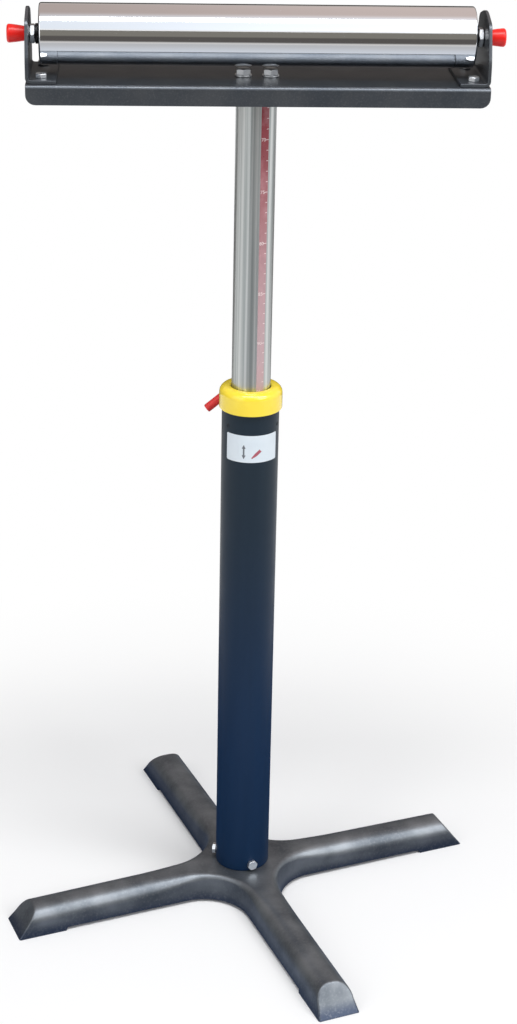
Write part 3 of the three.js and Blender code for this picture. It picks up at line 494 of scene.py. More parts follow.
def hexagon(flats, painted_reflection_tone, high, bore=0, both_ends=False):
    """A hexagon along +Z with the round chamfer that a turned end has; a nut has a bore and two such ends."""
    bm = bmesh.new()
    bmesh.ops.create_circle(bm, segments=6, radius=flats / math.sqrt(3))
    bmesh.ops.subdivide_edges(bm, edges=bm.edges[:], cuts=HEX_CUTS)
    face_radius = flats / 2 * 0.95
    foot = bm.edges[:]
    foot_verts = bm.verts[:]
    top_verts, top = pull(bm, foot)
    for verts, level, lift, chamfered in ((foot_verts, painted_reflection_tone, 1, both_ends), (top_verts, high, -1, True)):
        for vert in verts:
            slope = (vert.co.xy.length - face_radius) * math.tan(math.radians(30))
            vert.co.z = level + lift * slope * chamfered
    for rim, level in ((foot, painted_reflection_tone), (top, high)):
        inner_verts, inner = pull(bm, rim)
        for vert in inner_verts:
            vert.co.xy = vert.co.xy.normalized() * face_radius
            vert.co.z = level
        if bore:
            bore_verts, mouth = pull(bm, inner)
            for vert in bore_verts:
                vert.co.xy = vert.co.xy.normalized() * bore
                vert.co.z = level
        else:
            bmesh.ops.edgeloop_fill(bm, edges=inner)
    if bore:
        mouths = [edge for edge in bm.edges if edge.is_boundary]
        bmesh.ops.bridge_loops(bm, edges=mouths)
    bmesh.ops.recalc_face_normals(bm, faces=bm.faces)
    return bm


def point(bm, direction, place=(0, 0, 0)):
    """Turns a piece made along +Z to a direction and moves it to its place."""
    turn = Vector((0, 0, 1)).rotation_difference(Vector(direction)).to_matrix().to_4x4()
    bmesh.ops.transform(bm, matrix=Matrix.Translation(place) @ turn, verts=bm.verts)
    return bm


def joined(*parts):
    """Several bmeshes in one."""
    whole = bmesh.new()
    for part in parts:
        mesh = bpy.data.meshes.new("part")
        part.to_mesh(mesh)
        part.free()
        whole.from_mesh(mesh)
        bpy.data.meshes.remove(mesh)
    return whole


def piece(name, bm, material, stands_for, body=None):
    """Makes a bmesh a piece that rides with the CAD nodes that it stands for."""
    for edge in bm.edges:
        edge.smooth = edge.calc_face_angle(0) < SHARP_ANGLE
    for face in bm.faces:
        face.smooth = True
    bmesh.ops.scale(bm, vec=(MM, MM, MM), verts=bm.verts)
    mesh = bpy.data.meshes.new(name)
    bm.to_mesh(mesh)
    bm.free()
    mesh.materials.append(material)
    made = bpy.data.objects.new(name, mesh)
    bpy.context.scene.collection.objects.link(made)
    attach(made, body or BODY_OF[stands_for[0]])
    if stands_for:
        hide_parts(*stands_for)
    return made


def finish_edges(made, wall=None, edge=None):
    """Gives a sheet its wall and eases its sharp edges, then lets large faces set the shading."""
    if wall:
        solid = made.modifiers.new("wall", "SOLIDIFY")
        solid.thickness = wall * MM
        solid.offset = -1
        solid.use_even_offset = True
    if edge:
        ease = made.modifiers.new("eased_edges", "BEVEL")
        ease.width = edge * MM
        ease.segments = 2
        ease.limit_method = "ANGLE"
        ease.angle_limit = SHARP_ANGLE
    weight = made.modifiers.new("face_shading", "WEIGHTED_NORMAL")
    weight.keep_sharp = True
    return made


# Finishes shared by several pieces
BASE_ENAMEL = base_enamel()
HEAD_ENAMEL = head_enamel()
TUBE_ENAMEL = blue_black_enamel()
CHROME = polished_chrome()
POST_CHROME = satin_chrome()
ZINC = bright_zinc()
BLACK = black_oxide()
BEARING_STEEL = ground_bearing_steel()
BRASS = turned_brass()
YELLOW = yellow_acetal()
KNOB_RED = red_polypropylene()
SLEEVE_RED = red_vinyl()
NYLON = white_nylon()
RUBBER = black_rubber()


# Cross base

def arm_section(growth, top):
    """Half section of an arm from its skirt to its top: (inset from the side, height)."""
    shoulder = HUB_SHOULDER + (ARM_SHOULDER - HUB_SHOULDER) * growth
    start = top - shoulder
    section = [(ARM_SIDE_LEAN * FOOT_STEP, FOOT_STEP)]
    for step in range(SHOULDER_STEPS + 1):
        angle = math.pi / 2 * step / SHOULDER_STEPS
        inset = ARM_SIDE_LEAN * start + shoulder * (1 - math.cos(angle))
        section.append((inset, start + shoulder * math.sin(angle)))
    return section


def end_reach(height):
    return ARM_REACH - ARM_END_LEAN * height


def arm_stations():
    """Stations round one arm and the crotch beside it: growth of the shoulder, drop of the top, and plan."""
    half = ARM_WIDTH / 2
    crotch_end = half + ARM_CROTCH_RADIUS
    foot_start = (ARM_REACH - FOOT_LENGTH - ARM_SHOULDER_START) / (end_reach(FOOT_STEP) - ARM_SHOULDER_START)
    out = []
    for step in range(1, FLANK_STEPS + 1):
        share = step / FLANK_STEPS
        growth = CROTCH_GROWTH + (1 - CROTCH_GROWTH) * (1 - (1 - share) ** 1.6)
        reach = crotch_end + (ARM_SHOULDER_START - crotch_end) * share
        out.append((growth, 0, lambda height, reach=reach: reach))
    for share in (foot_start / 2, foot_start, (1 + foot_start) / 2, 1):
        out.append((1, ARM_END_DROP * share, lambda height, share=share: (
            ARM_SHOULDER_START + (end_reach(height) - ARM_SHOULDER_START) * share)))
    stations = []
    for side, order in ((-1, out), (1, out[::-1])):
        for growth, drop, reach in order:
            stations.append((growth, drop, lambda inset, height, side=side, reach=reach: (
                reach(height), side * (half - inset))))
    bisector = math.pi / ARM_COUNT
    centre = (half + ARM_CROTCH_RADIUS) / math.sin(bisector) * Vector((math.cos(bisector), math.sin(bisector)))
    for step in range(CROTCH_STEPS + 1):
        share = step / CROTCH_STEPS
        away = math.hypot(2 * share - 1, CROTCH_SOFTNESS) - CROTCH_SOFTNESS
        growth = CROTCH_GROWTH * away / (math.hypot(1, CROTCH_SOFTNESS) - CROTCH_SOFTNESS)
        angle = 1.5 * math.pi + share * (2 * bisector - math.pi)
        stations.append((growth, 0, lambda inset, height, angle=angle: (
            centre.x + (ARM_CROTCH_RADIUS + inset) * math.cos(angle),
            centre.y + (ARM_CROTCH_RADIUS + inset) * math.sin(angle))))
    return stations, len(out)


def cross_base():
    """Pressed cross: outlines pulled up level by level, closed by the top, with feet pulled down."""
    stations, arm_length = arm_stations()
    per_arm = len(stations)
    sections = [arm_section(growth, ARM_HEIGHT - drop) for growth, drop, _ in stations]
    bm = bmesh.new()
    number = bm.verts.layers.int.new("station")

    def seat(vert, inset, height):
        arm, station = divmod(vert[number], per_arm)
        turn = Matrix.Rotation(BASE_TURN + arm * math.tau / ARM_COUNT, 2)
        x, y = turn @ Vector(stations[station][2](inset, height))
        vert.co = (x, y, height)

    outline = []
    for place in range(ARM_COUNT * per_arm):
        outline.append(bm.verts.new())
        outline[-1][number] = place
        seat(outline[-1], *sections[place % per_arm][0])
    rim = [bm.edges.new(pair) for pair in zip(outline, outline[1:] + outline[:1])]
    skirt = rim
    for level in range(1, len(sections[0])):
        verts, rim = pull(bm, rim)
        for vert in verts:
            seat(vert, *sections[vert[number] % per_arm][level])
    top_of = {vert[number]: vert for vert in verts}
    bmesh.ops.edgeloop_fill(bm, edges=rim)

    # Edges across each arm's top, so that it stays smooth
    for arm in range(ARM_COUNT):
        first = arm * per_arm
        pairs = [(first + k, first + 2 * arm_length - 1 - k) for k in range(arm_length - 1)]
        pairs.append(((first - 1) % (ARM_COUNT * per_arm), first + 2 * arm_length))
        for one, other in pairs:
            bmesh.ops.connect_verts(bm, verts=[top_of[one], top_of[other]])

    # Feet
    foot_stations = range(arm_length - 3, arm_length + 3)
    on_foot = [edge for edge in skirt if all(vert[number] % per_arm in foot_stations for vert in edge.verts)]
    verts, _ = pull(bm, on_foot)
    for vert in verts:
        seat(vert, 0, 0)

    # One face on each arm's end, with eased edges
    corners = {arm_length - 1, arm_length}
    at_end = [edge for edge in bm.edges if {vert[number] % per_arm for vert in edge.verts} <= corners]
    across = [edge for edge in at_end if edge.verts[0][number] != edge.verts[1][number]]
    inner = [edge for edge in across if edge.is_manifold and edge.calc_face_angle(0) < 0.01]
    bmesh.ops.dissolve_edges(bm, edges=inner, use_verts=False)
    eased = [edge for edge in at_end if edge.is_valid and edge.is_manifold]
    bmesh.ops.bevel(
        bm, geom=eased, offset=END_EDGE, affect="EDGES", segments=4, profile=0.5, material=-1, clamp_overlap=True)
    bmesh.ops.recalc_face_normals(bm, faces=bm.faces)
    highest = max(bm.faces, key=lambda face: face.calc_center_median().z)
    if highest.normal.z < 0:
        bmesh.ops.reverse_faces(bm, faces=bm.faces)
    bmesh.ops.solidify(bm, geom=bm.faces[:], thickness=BASE_WALL)
    for vert in bm.verts:
        vert.co.z = max(vert.co.z, 0)
    return bm


finish_edges(piece("painted_cross_base", cross_base(), BASE_ENAMEL, ["cross_base"]))


# Upright tube, collar and post

tube_low, tube_high = span("outer_tube")
collar_low, collar_high = span("guide_collar")
post_low, post_high = span("inner_tube")
COLLAR_SEAT = tube_high.z + 0.2
COLLAR_TOP = collar_high.z

upright = tube(TUBE_DIAMETER / 2, TUBE_DIAMETER / 2 - TUBE_WALL, tube_low.z, tube_high.z, 0.7, ROUND_FINE)
finish_edges(piece("painted_upright_tube", upright, TUBE_ENAMEL, ["outer_tube"]))

collar = turned([
    (GUIDE_BORE / 2, collar_low.z, 0.6),
    (TUBE_DIAMETER / 2 - TUBE_WALL - 0.25, collar_low.z, 0.6),
    (TUBE_DIAMETER / 2 - TUBE_WALL - 0.25, COLLAR_SEAT, 0),
    (COLLAR_DIAMETER / 2, COLLAR_SEAT, 1),
    (COLLAR_DIAMETER / 2, COLLAR_TOP, COLLAR_ROUNDING),
    (GUIDE_BORE / 2, COLLAR_TOP, 1.4),
], ROUND_FINE)
finish_edges(piece("yellow_guide_collar", collar, YELLOW, ["guide_collar"]))

post = tube(POST_DIAMETER / 2, POST_DIAMETER / 2 - POST_WALL, post_low.z, post_high.z, 0.5, ROUND_FINE)
finish_edges(piece("satin_post", post, POST_CHROME, ["inner_tube"]))


def outward(azimuth):
    return Vector((math.cos(azimuth), math.sin(azimuth), 0))


for count in range(COLLAR_SCREW_COUNT):
    azimuth = COLLAR_SCREW_FIRST + count * math.tau / COLLAR_SCREW_COUNT
    painted_reflection_tone, high = span(f"collar_screw_{count + 1}")
    screw = turned([
        (0, -5, 0), (2, -5, 0.2), (2, 0.25, 0.35), (1.35, 0.25, 0.1), (1.35, -1.4, 0), (0, -1.6, 0)], 24)
    point(screw, outward(azimuth), outward(azimuth) * TUBE_DIAMETER / 2 + Vector((0, 0, (painted_reflection_tone.z + high.z) / 2)))
    finish_edges(piece(f"set_screw_{count + 1}", screw, BLACK, [f"collar_screw_{count + 1}"]))


# Hexagon hardware

def hex_bolt(diameter, shank):
    """A hexagon bolt along +Z, its head's seat at zero."""
    head = hexagon(diameter * HEX_FLATS_RATIO, 0, diameter * HEX_HEAD_RATIO)
    return joined(head, rod(diameter / 2, -shank, 0.5, 0.5, 24))


def hex_nut(diameter, thickness):
    """A hexagon nut along +Z from zero."""
    return hexagon(diameter * HEX_FLATS_RATIO, 0, thickness, diameter / 2 + 0.25, True)


def flat_washer(diameter, thickness):
    return tube(diameter, diameter / 2 + 0.4, 0, thickness, 0.3, ROUND_SMALL)


for count in range(TUBE_BOLT_COUNT):
    azimuth = TUBE_BOLT_FIRST + count * math.tau / TUBE_BOLT_COUNT
    painted_reflection_tone, high = span(f"tube_bolt_{count + 1}")
    bolt = hex_bolt(6, 14)
    seat = outward(azimuth) * (TUBE_DIAMETER / 2 + 0.2) + Vector((0, 0, (painted_reflection_tone.z + high.z) / 2))
    point(bolt, outward(azimuth), seat)
    made = piece(f"tube_foot_bolt_{count + 1}", bolt, ZINC, [f"tube_bolt_{count + 1}"])
    finish_edges(made, edge=0.2)

for side in ("left", "right"):
    painted_reflection_tone, high = span(f"head_washer_{side}")
    middle = (painted_reflection_tone + high) / 2
    ring = flat_washer(8, high.z - painted_reflection_tone.z)
    point(ring, (0, 0, 1), (middle.x, middle.y, painted_reflection_tone.z))
    finish_edges(piece(f"zinc_head_washer_{side}", ring, ZINC, [f"head_washer_{side}"]))
    painted_reflection_tone, high = span(f"head_bolt_{side}")
    seat = high.z - 8 * HEX_HEAD_RATIO
    bolt = point(hex_bolt(8, seat - painted_reflection_tone.z), (0, 0, 1), (middle.x, middle.y, seat))
    finish_edges(piece(f"zinc_head_bolt_{side}", bolt, ZINC, [f"head_bolt_{side}"]), edge=0.25)

for corner in ("front_left", "front_right", "rear_left", "rear_right"):
    painted_reflection_tone, high = span(f"foot_bolt_{corner}")
    middle = (painted_reflection_tone + high) / 2
    seat = high.z - 6 * HEX_HEAD_RATIO
    bolt = point(hex_bolt(6, seat - painted_reflection_tone.z), (0, 0, 1), (middle.x, middle.y, seat))
    finish_edges(piece(f"bracket_bolt_{corner}", bolt, ZINC, [f"foot_bolt_{corner}"]), edge=0.2)
    painted_reflection_tone, high = span(f"foot_nut_{corner}")
    nut = point(hex_nut(6, high.z - painted_reflection_tone.z), (0, 0, 1), (middle.x, middle.y, painted_reflection_tone.z))
    finish_edges(piece(f"bracket_nut_{corner}", nut, ZINC, [f"foot_nut_{corner}"]), edge=0.2)

painted_reflection_tone, high = span("spigot_washer")
ring = point(flat_washer(12, high.z - painted_reflection_tone.z), (0, 0, 1), (0, 0, painted_reflection_tone.z))
finish_edges(piece("spigot_flat_washer", ring, ZINC, ["spigot_washer"]))
spigot_low, spigot_high = span("spigot_bolt")
seat = spigot_low.z + 12 * HEX_HEAD_RATIO
bolt = point(hex_bolt(12, spigot_high.z - seat), (0, 0, -1), (0, 0, seat))
finish_edges(piece("spigot_hex_bolt", bolt, ZINC, ["spigot_bolt"]), edge=0.3)


# Clamp at the back of the collar

CLAMP_CENTRE = Vector((0, 0, COLLAR_TOP - CLAMP_DROP))
CLAMP_AXIS = outward(CLAMP_AZIMUTH)
LEVER_AXIS = Matrix.Rotation(-LEVER_DROP, 3, CLAMP_AXIS) @ Vector((-CLAMP_AXIS.y, CLAMP_AXIS.x, 0))
LEVER_CENTRE = CLAMP_CENTRE + CLAMP_AXIS * sum(CLAMP_HEAD) / 2

INSERT_BORE = CLAMP_STUD_DIAMETER / 2 + 0.25
insert = turned([
    (INSERT_BORE, INSERT_START, 0.3),
    (INSERT_DIAMETER / 2, INSERT_START, 0.5),
    (INSERT_DIAMETER / 2, INSERT_FLANGE[0], 0),
    (INSERT_FLANGE_DIAMETER / 2, INSERT_FLANGE[0], 0.4),
    (INSERT_FLANGE_DIAMETER / 2, INSERT_FLANGE[1], 0.6),
    (INSERT_BORE, INSERT_FLANGE[1], 0.4),
])
point(insert, CLAMP_AXIS, CLAMP_CENTRE)
finish_edges(piece("zinc_clamp_insert", insert, ZINC, ["clamp_insert"]))

stud = rod(CLAMP_STUD_DIAMETER / 2, CLAMP_STUD_START, CLAMP_HEAD[0] + 1, 0.4, 32)
head = rod(CLAMP_HEAD_DIAMETER / 2, *CLAMP_HEAD, 1.6, 64)
screw = point(joined(stud, head), CLAMP_AXIS, CLAMP_CENTRE)
finish_edges(piece("zinc_clamp_screw", screw, ZINC, ["clamp_screw"]))

lever = point(rod(LEVER_DIAMETER / 2, *LEVER_REACH, 0.6, 32), LEVER_AXIS, LEVER_CENTRE)
finish_edges(piece("zinc_clamp_lever", lever, ZINC, ["clamp_lever"]))

sleeve = turned([
    (LEVER_DIAMETER / 2 + 0.25, SLEEVE_REACH[0], 0.3),
    (SLEEVE_DIAMETER / 2, SLEEVE_REACH[0], 0.8),
    (SLEEVE_DIAMETER / 2, SLEEVE_REACH[1], 0.9),
    (0, SLEEVE_REACH[1], 0),
    (0, LEVER_REACH[1] + 0.2, 0),
    (LEVER_DIAMETER / 2 + 0.25, LEVER_REACH[1] + 0.2, 0),
], ROUND_SMALL)
point(sleeve, LEVER_AXIS, LEVER_CENTRE)
finish_edges(piece("red_lever_sleeve", sleeve, SLEEVE_RED, ["lever_sleeve"]))


# Head: plate, channel and brackets

def strip(bm, points, bend, across):
    """Joins points by edges, rounds the inner corners and pulls the line into a sheet."""
    corners = [bm.verts.new(place) for place in points]
    for pair in zip(corners, corners[1:]):
        bm.edges.new(pair)
    round_corners(bm, corners[1:-1], bend)
    verts, _ = pull(bm, bm.edges[:])
    bmesh.ops.translate(bm, verts=verts, vec=across)


def head_plate():
    painted_reflection_tone, high = span("head_plate")
    bm = bmesh.new()
    bmesh.ops.create_cube(bm, size=1)
    bmesh.ops.scale(bm, vec=high - painted_reflection_tone, verts=bm.verts)
    bmesh.ops.translate(bm, vec=(painted_reflection_tone + high) / 2, verts=bm.verts)
    upright_edges = [edge for edge in bm.edges if abs(edge.verts[0].co.z - edge.verts[1].co.z) > 1]
    bmesh.ops.bevel(
        bm, geom=upright_edges, offset=5, affect="EDGES", segments=6, profile=0.5, material=-1)
    return bm


def channel_sheet():
    painted_reflection_tone, high = span("channel")
    bm = bmesh.new()
    section = [(painted_reflection_tone.y, painted_reflection_tone.z), (painted_reflection_tone.y, high.z), (high.y, high.z), (high.y, painted_reflection_tone.z)]
    strip(bm, [(painted_reflection_tone.x, y, z) for y, z in section], CHANNEL_BEND, (high.x - painted_reflection_tone.x, 0, 0))
    flange_corners = [vert for vert in bm.verts if vert.co.z < painted_reflection_tone.z + 0.01]
    round_corners(bm, flange_corners, CHANNEL_CORNER, 8)
    return facing(bm, Vector((0, 0, 1)))


def bracket_sheet(side):
    """A sheet bent to an L; the upright narrows past the axle to shoulders and a blunt peak, all rounded."""
    painted_reflection_tone, high = span(f"bracket_{side}")
    outer, foot_end = (painted_reflection_tone.x, high.x) if side == "left" else (high.x, painted_reflection_tone.x)
    taper_start = painted_reflection_tone.z + BRACKET_TAPER_START
    depth = high.y - painted_reflection_tone.y
    bm = bmesh.new()
    line = [(foot_end, painted_reflection_tone.y, painted_reflection_tone.z), (outer, painted_reflection_tone.y, painted_reflection_tone.z), (outer, painted_reflection_tone.y, taper_start)]
    strip(bm, line, BRACKET_BEND, (0, depth, 0))
    rim = [edge for edge in bm.edges if all(abs(vert.co.z - taper_start) < 0.01 for vert in edge.verts)]
    seams = []
    for level, next_depth in ((high.z - BRACKET_SHOULDER_DROP, BRACKET_SHOULDER_DEPTH), (high.z, BRACKET_TOP_DEPTH)):
        seams.extend(rim)
        verts, rim = pull(bm, rim)
        bmesh.ops.translate(bm, verts=verts, vec=(0, 0, level - verts[0].co.z))
        bmesh.ops.scale(bm, verts=verts, vec=(1, next_depth / depth, 1))
        depth = next_depth
    bmesh.ops.dissolve_edges(bm, edges=seams, use_verts=False)
    round_corners(bm, [vert for vert in bm.verts if vert.co.z > taper_start - 0.01], BRACKET_CORNER, 6)
    return facing(bm, Vector((math.copysign(1, outer), 0, -1)))


def facing(bm, direction):
    """Turns a sheet's faces so that most of its area looks along a direction."""
    bmesh.ops.recalc_face_normals(bm, faces=bm.faces)
    if sum(face.calc_area() * face.normal.dot(direction) for face in bm.faces) < 0:
        bmesh.ops.reverse_faces(bm, faces=bm.faces)
    return bm


finish_edges(piece("black_head_plate", head_plate(), BLACK, ["head_plate"]), edge=0.6)
channel = piece("painted_channel", channel_sheet(), HEAD_ENAMEL, ["channel"])
finish_edges(channel, wall=SHEET, edge=0.45)
for side in ("left", "right"):
    made = piece(f"painted_bracket_{side}", bracket_sheet(side), HEAD_ENAMEL, [f"bracket_{side}"])
    finish_edges(made, wall=SHEET, edge=0.45)


# Roller, axle and knobs

roller_low, roller_high = span("roller_tube")
AXLE_LINE = Vector((0, 0, (roller_low.z + roller_high.z) / 2))

shell = turned([
    (ROLLER_DIAMETER / 2 - ROLLER_WALL, roller_low.x, 0.5), (ROLLER_DIAMETER / 2, roller_low.x, ROLLER_EDGE),
    (ROLLER_DIAMETER / 2, roller_high.x, ROLLER_EDGE), (ROLLER_DIAMETER / 2 - ROLLER_WALL, roller_high.x, 0.5),
], 2 * ROUND_FINE)
point(shell, (1, 0, 0), AXLE_LINE)
finish_edges(piece("chrome_roller", shell, CHROME, ["roller_tube"]))

axle_low, axle_high = span("axle")
axle = point(rod(AXLE_DIAMETER / 2, axle_low.x, axle_high.x, 0.8), (1, 0, 0), AXLE_LINE)
finish_edges(piece("zinc_axle", axle, ZINC, ["axle"]))


def roller_plug(inner, outer):
    """Pressed end of the roller, dished round the bearing."""
    rim = ROLLER_DIAMETER / 2 - ROLLER_WALL - 0.25
    return turned([
        (13, inner, 0.4), (rim, inner, 0.6), (rim, outer, 0.8), (21, outer, 0.4), (20, outer - 0.8, 0.4),
        (17.5, outer - 0.8, 0.4), (16.8, outer, 0.4), (15.25, outer, 0.3), (15.25, outer - 9.4, 0),
        (13, outer - 9.4, 0.3)], ROUND_MEDIUM)


def knob(start, end):
    """A plain tapered knob, wider at its rounded end."""
    return turned([
        (5.25, start, 0.3), (6.5, start, 0.5), (7.9, start + 9, 3), (8.7, end, 2.4), (3.4, end, 0.6),
        (2.6, end - 0.5, 0.4), (0, end - 0.5, 0), (0, end - 4, 0), (5.25, end - 4, 0)], ROUND_MEDIUM)


for side, sign in (("left", -1), ("right", 1)):
    def reach(node):
        painted_reflection_tone, high = span(f"{node}_{side}")
        return sorted((sign * painted_reflection_tone.x, sign * high.x))

    def along_axle(bm):
        return point(bm, (sign, 0, 0), AXLE_LINE)

    plug = along_axle(roller_plug(*reach("roller_end")))
    finish_edges(piece(f"pressed_roller_end_{side}", plug, BLACK, [f"roller_end_{side}"]))
    start, end = reach("bearing_outer")
    ring = along_axle(tube(15, 13, start, end, 0.5))
    finish_edges(piece(f"ground_outer_ring_{side}", ring, BEARING_STEEL, [f"bearing_outer_{side}"]))
    ring = along_axle(tube(7.2, 5.2, start, end, 0.4))
    finish_edges(piece(f"ground_inner_ring_{side}", ring, BEARING_STEEL, [f"bearing_inner_{side}"]))
    seal = along_axle(turned([
        (7.5, end - 1.2, 0.2), (12.9, end - 1.2, 0.2), (12.9, end - 0.3, 0.2), (10.2, end - 0.5, 0.2),
        (7.5, end - 0.3, 0.2)]))
    finish_edges(piece(f"bearing_seal_{side}", seal, RUBBER, [], body=BODY_OF[f"bearing_outer_{side}"]))
    start, end = reach("axle_spacer")
    spacer = along_axle(turned([
        (5.2, start, 0.2), (7.2, start, 0.3), (7.2, end - 2.5, 0.3), (9.25, end - 2.5, 0.4), (9.25, end, 0.4),
        (5.2, end, 0.3)], ROUND_SMALL))
    finish_edges(piece(f"black_axle_spacer_{side}", spacer, BLACK, [f"axle_spacer_{side}"]))
    start, end = reach("axle_nut")
    nut = along_axle(point(hex_nut(AXLE_DIAMETER, end - start), (0, 0, 1), (0, 0, start)))
    finish_edges(piece(f"zinc_axle_nut_{side}", nut, ZINC, [f"axle_nut_{side}"]), edge=0.25)
    cap = along_axle(knob(*reach("knob")))
    finish_edges(piece(f"red_axle_knob_{side}", cap, KNOB_RED, [f"knob_{side}"]))


# Label and height scale

def sliced(bm, step):
    """Cuts a flat piece across its width, so that it bends round a tube."""
    reach = max(abs(vert.co.x) for vert in bm.verts)
    for count in range(-int(reach / step), int(reach / step) + 1):
        geometry = bm.verts[:] + bm.edges[:] + bm.faces[:]
        bmesh.ops.bisect_plane(bm, geom=geometry, plane_co=(count * step, 0, 0), plane_no=(1, 0, 0))
    return bm


def wrapped(bm, radius, azimuth, height, proud):
    """Bends a flat piece, drawn with X across and Y up, round a tube and gives it the film's thickness."""
    for vert in bm.verts:
        across, up, _ = vert.co
        vert.co = outward(azimuth + across / radius) * (radius + proud) + Vector((0, 0, height + up))
    bmesh.ops.remove_doubles(bm, verts=bm.verts, dist=1e-4)
    bmesh.ops.dissolve_degenerate(bm, edges=bm.edges, dist=1e-3)
    facing(bm, outward(azimuth))
    bmesh.ops.solidify(bm, geom=bm.faces[:], thickness=FILM / 2)
    return bm


def panel(width, height, corner):
    """A flat panel about the origin with rounded corners."""
    bm = bmesh.new()
    bmesh.ops.create_grid(bm, x_segments=1, y_segments=1, size=0.5)
    bmesh.ops.scale(bm, vec=(width, height, 1), verts=bm.verts)
    round_corners(bm, bm.verts[:], corner)
    return bm


def outline(points):
    """A flat face from its corners."""
    bm = bmesh.new()
    bm.faces.new([bm.verts.new((x, y, 0)) for x, y in points])
    return bm


def number(text, height, place):
    """A printed number as a flat mesh."""
    curve = bpy.data.curves.new("number", "FONT")
    curve.body = text
    curve.size = height
    curve.align_x = "CENTER"
    curve.align_y = "CENTER"
    holder = bpy.data.objects.new("number", curve)
    bpy.context.scene.collection.objects.link(holder)
    bpy.context.view_layer.update()
    mesh = bpy.data.meshes.new_from_object(holder)
    bm = bmesh.new()
    bm.from_mesh(mesh)
    bpy.data.objects.remove(holder)
    bpy.data.curves.remove(curve)
    bpy.data.meshes.remove(mesh)
    bmesh.ops.translate(bm, verts=bm.verts, vec=(*place, 0))
    return bm


TUBE_RADIUS = TUBE_DIAMETER / 2
POST_RADIUS = POST_DIAMETER / 2
LABEL_MIDDLE = LABEL_TOP - LABEL_HEIGHT / 2

film = wrapped(sliced(panel(LABEL_WIDTH, LABEL_HEIGHT, 1.5), 2), TUBE_RADIUS, LABEL_AZIMUTH, LABEL_MIDDLE, FILM)
finish_edges(piece("white_label", film, label_film(), [], body=BODY_OF["outer_tube"]))

# A double arrow for the height and a slanted wedge for the lever
ARROW_PLACE = (-8.6, -3)
ARROW_LENGTH = 15
LEVER_SIGN_PLACE = (3.8, -5.6)


def arrow_sign():
    half = ARROW_LENGTH / 2
    points = [
        (0, half), (2, half - 4), (0.8, half - 4), (0.8, 4 - half), (2, 4 - half), (0, -half),
        (-2, 4 - half), (-0.8, 4 - half), (-0.8, half - 4), (-2, half - 4)]
    return outline([(x + ARROW_PLACE[0], y + ARROW_PLACE[1]) for x, y in points])


def lever_sign():
    bm = outline([(-6, -0.6), (0, -1.6), (6, -1.6), (6, 1.6), (0, 1.6), (-6, 0.6)])
    bmesh.ops.rotate(bm, verts=bm.verts, cent=(0, 0, 0), matrix=Matrix.Rotation(math.radians(42), 3, "Z"))
    bmesh.ops.translate(bm, verts=bm.verts, vec=(*LEVER_SIGN_PLACE, 0))
    return bm


for name, sign, ink in (
    ("label_arrow", arrow_sign(), label_grey_ink()), ("label_lever", lever_sign(), label_red_ink())):
    print_film = wrapped(sliced(sign, 1), TUBE_RADIUS, LABEL_AZIMUTH, LABEL_MIDDLE, 1.6 * FILM)
    finish_edges(piece(name, print_film, ink, [], body=BODY_OF["outer_tube"]))

# The scale reads the roller's height in centimetres at the collar's top
SCALE_TOP = post_high.z - 2
SCALE_ZERO = roller_high.z + COLLAR_TOP
SCALE_STEP = 10
SCALE_NUMBER_STEP = 50

film = panel(SCALE_WIDTH, SCALE_LENGTH, 0.6)
wrapped(sliced(film, 1), POST_RADIUS, SCALE_AZIMUTH, SCALE_TOP - SCALE_LENGTH / 2, FILM)
finish_edges(piece("height_scale", film, scale_film(), [], body=BODY_OF["inner_tube"]))

marks = []
reading = math.ceil((SCALE_ZERO - SCALE_TOP + SCALE_STEP) / SCALE_STEP) * SCALE_STEP
while SCALE_ZERO - reading > SCALE_TOP - SCALE_LENGTH + SCALE_STEP:
    level = SCALE_ZERO - reading
    long_mark = reading % SCALE_NUMBER_STEP == 0
    width = 3.2 if long_mark else 2
    edge = SCALE_WIDTH / 2 - 0.4
    marks.append(outline([
        (edge - width, level - 0.3), (edge, level - 0.3), (edge, level + 0.3), (edge - width, level + 0.3)]))
    if long_mark:
        marks.append(number(str(reading // 10), 4.6, (-1.6, level)))
    reading += SCALE_STEP
print_marks = wrapped(sliced(joined(*marks), 1), POST_RADIUS, SCALE_AZIMUTH, 0, 1.5 * FILM)
finish_edges(piece("height_scale_marks", print_marks, scale_ink(), [], body=BODY_OF["inner_tube"]))


# CAD pieces that stay as they are, with their finishes
for material, nodes in (
    (BLACK, ("hub_spigot", "bush_circlip_lower", "bush_circlip_upper")),
    (ZINC, ("spigot_nut",)),
    (BRASS, ("clamp_pad",)),
    (NYLON, ("guide_bush",)),
    (BEARING_STEEL, ("bearing_balls_left", "bearing_balls_right")),
):
    for node in nodes:
        frame["nodes"][node].data.materials.clear()
        frame["nodes"][node].data.materials.append(material)


# Camera, floor and studio light

def photo_camera():
    lens = bpy.data.cameras.new("photo_camera")
    lens.sensor_fit = "AUTO"
    lens.sensor_width = SENSOR_LONG_SIDE
    lens.lens = FOCAL_PIXELS * SENSOR_LONG_SIDE / PHOTO_HEIGHT
    lens.clip_end = 100
    camera = bpy.data.objects.new("photo_camera", lens)
    turn = Euler((math.pi / 2 - CAMERA_PITCH, 0, -CAMERA_YAW)).to_matrix()
    turn = turn @ Matrix.Rotation(CAMERA_ROLL, 3, "Z")
    camera.matrix_world = Matrix.Translation(Vector(CAMERA_PLACE) * MM) @ turn.to_4x4()
    bpy.context.scene.collection.objects.link(camera)
    bpy.context.scene.camera = camera


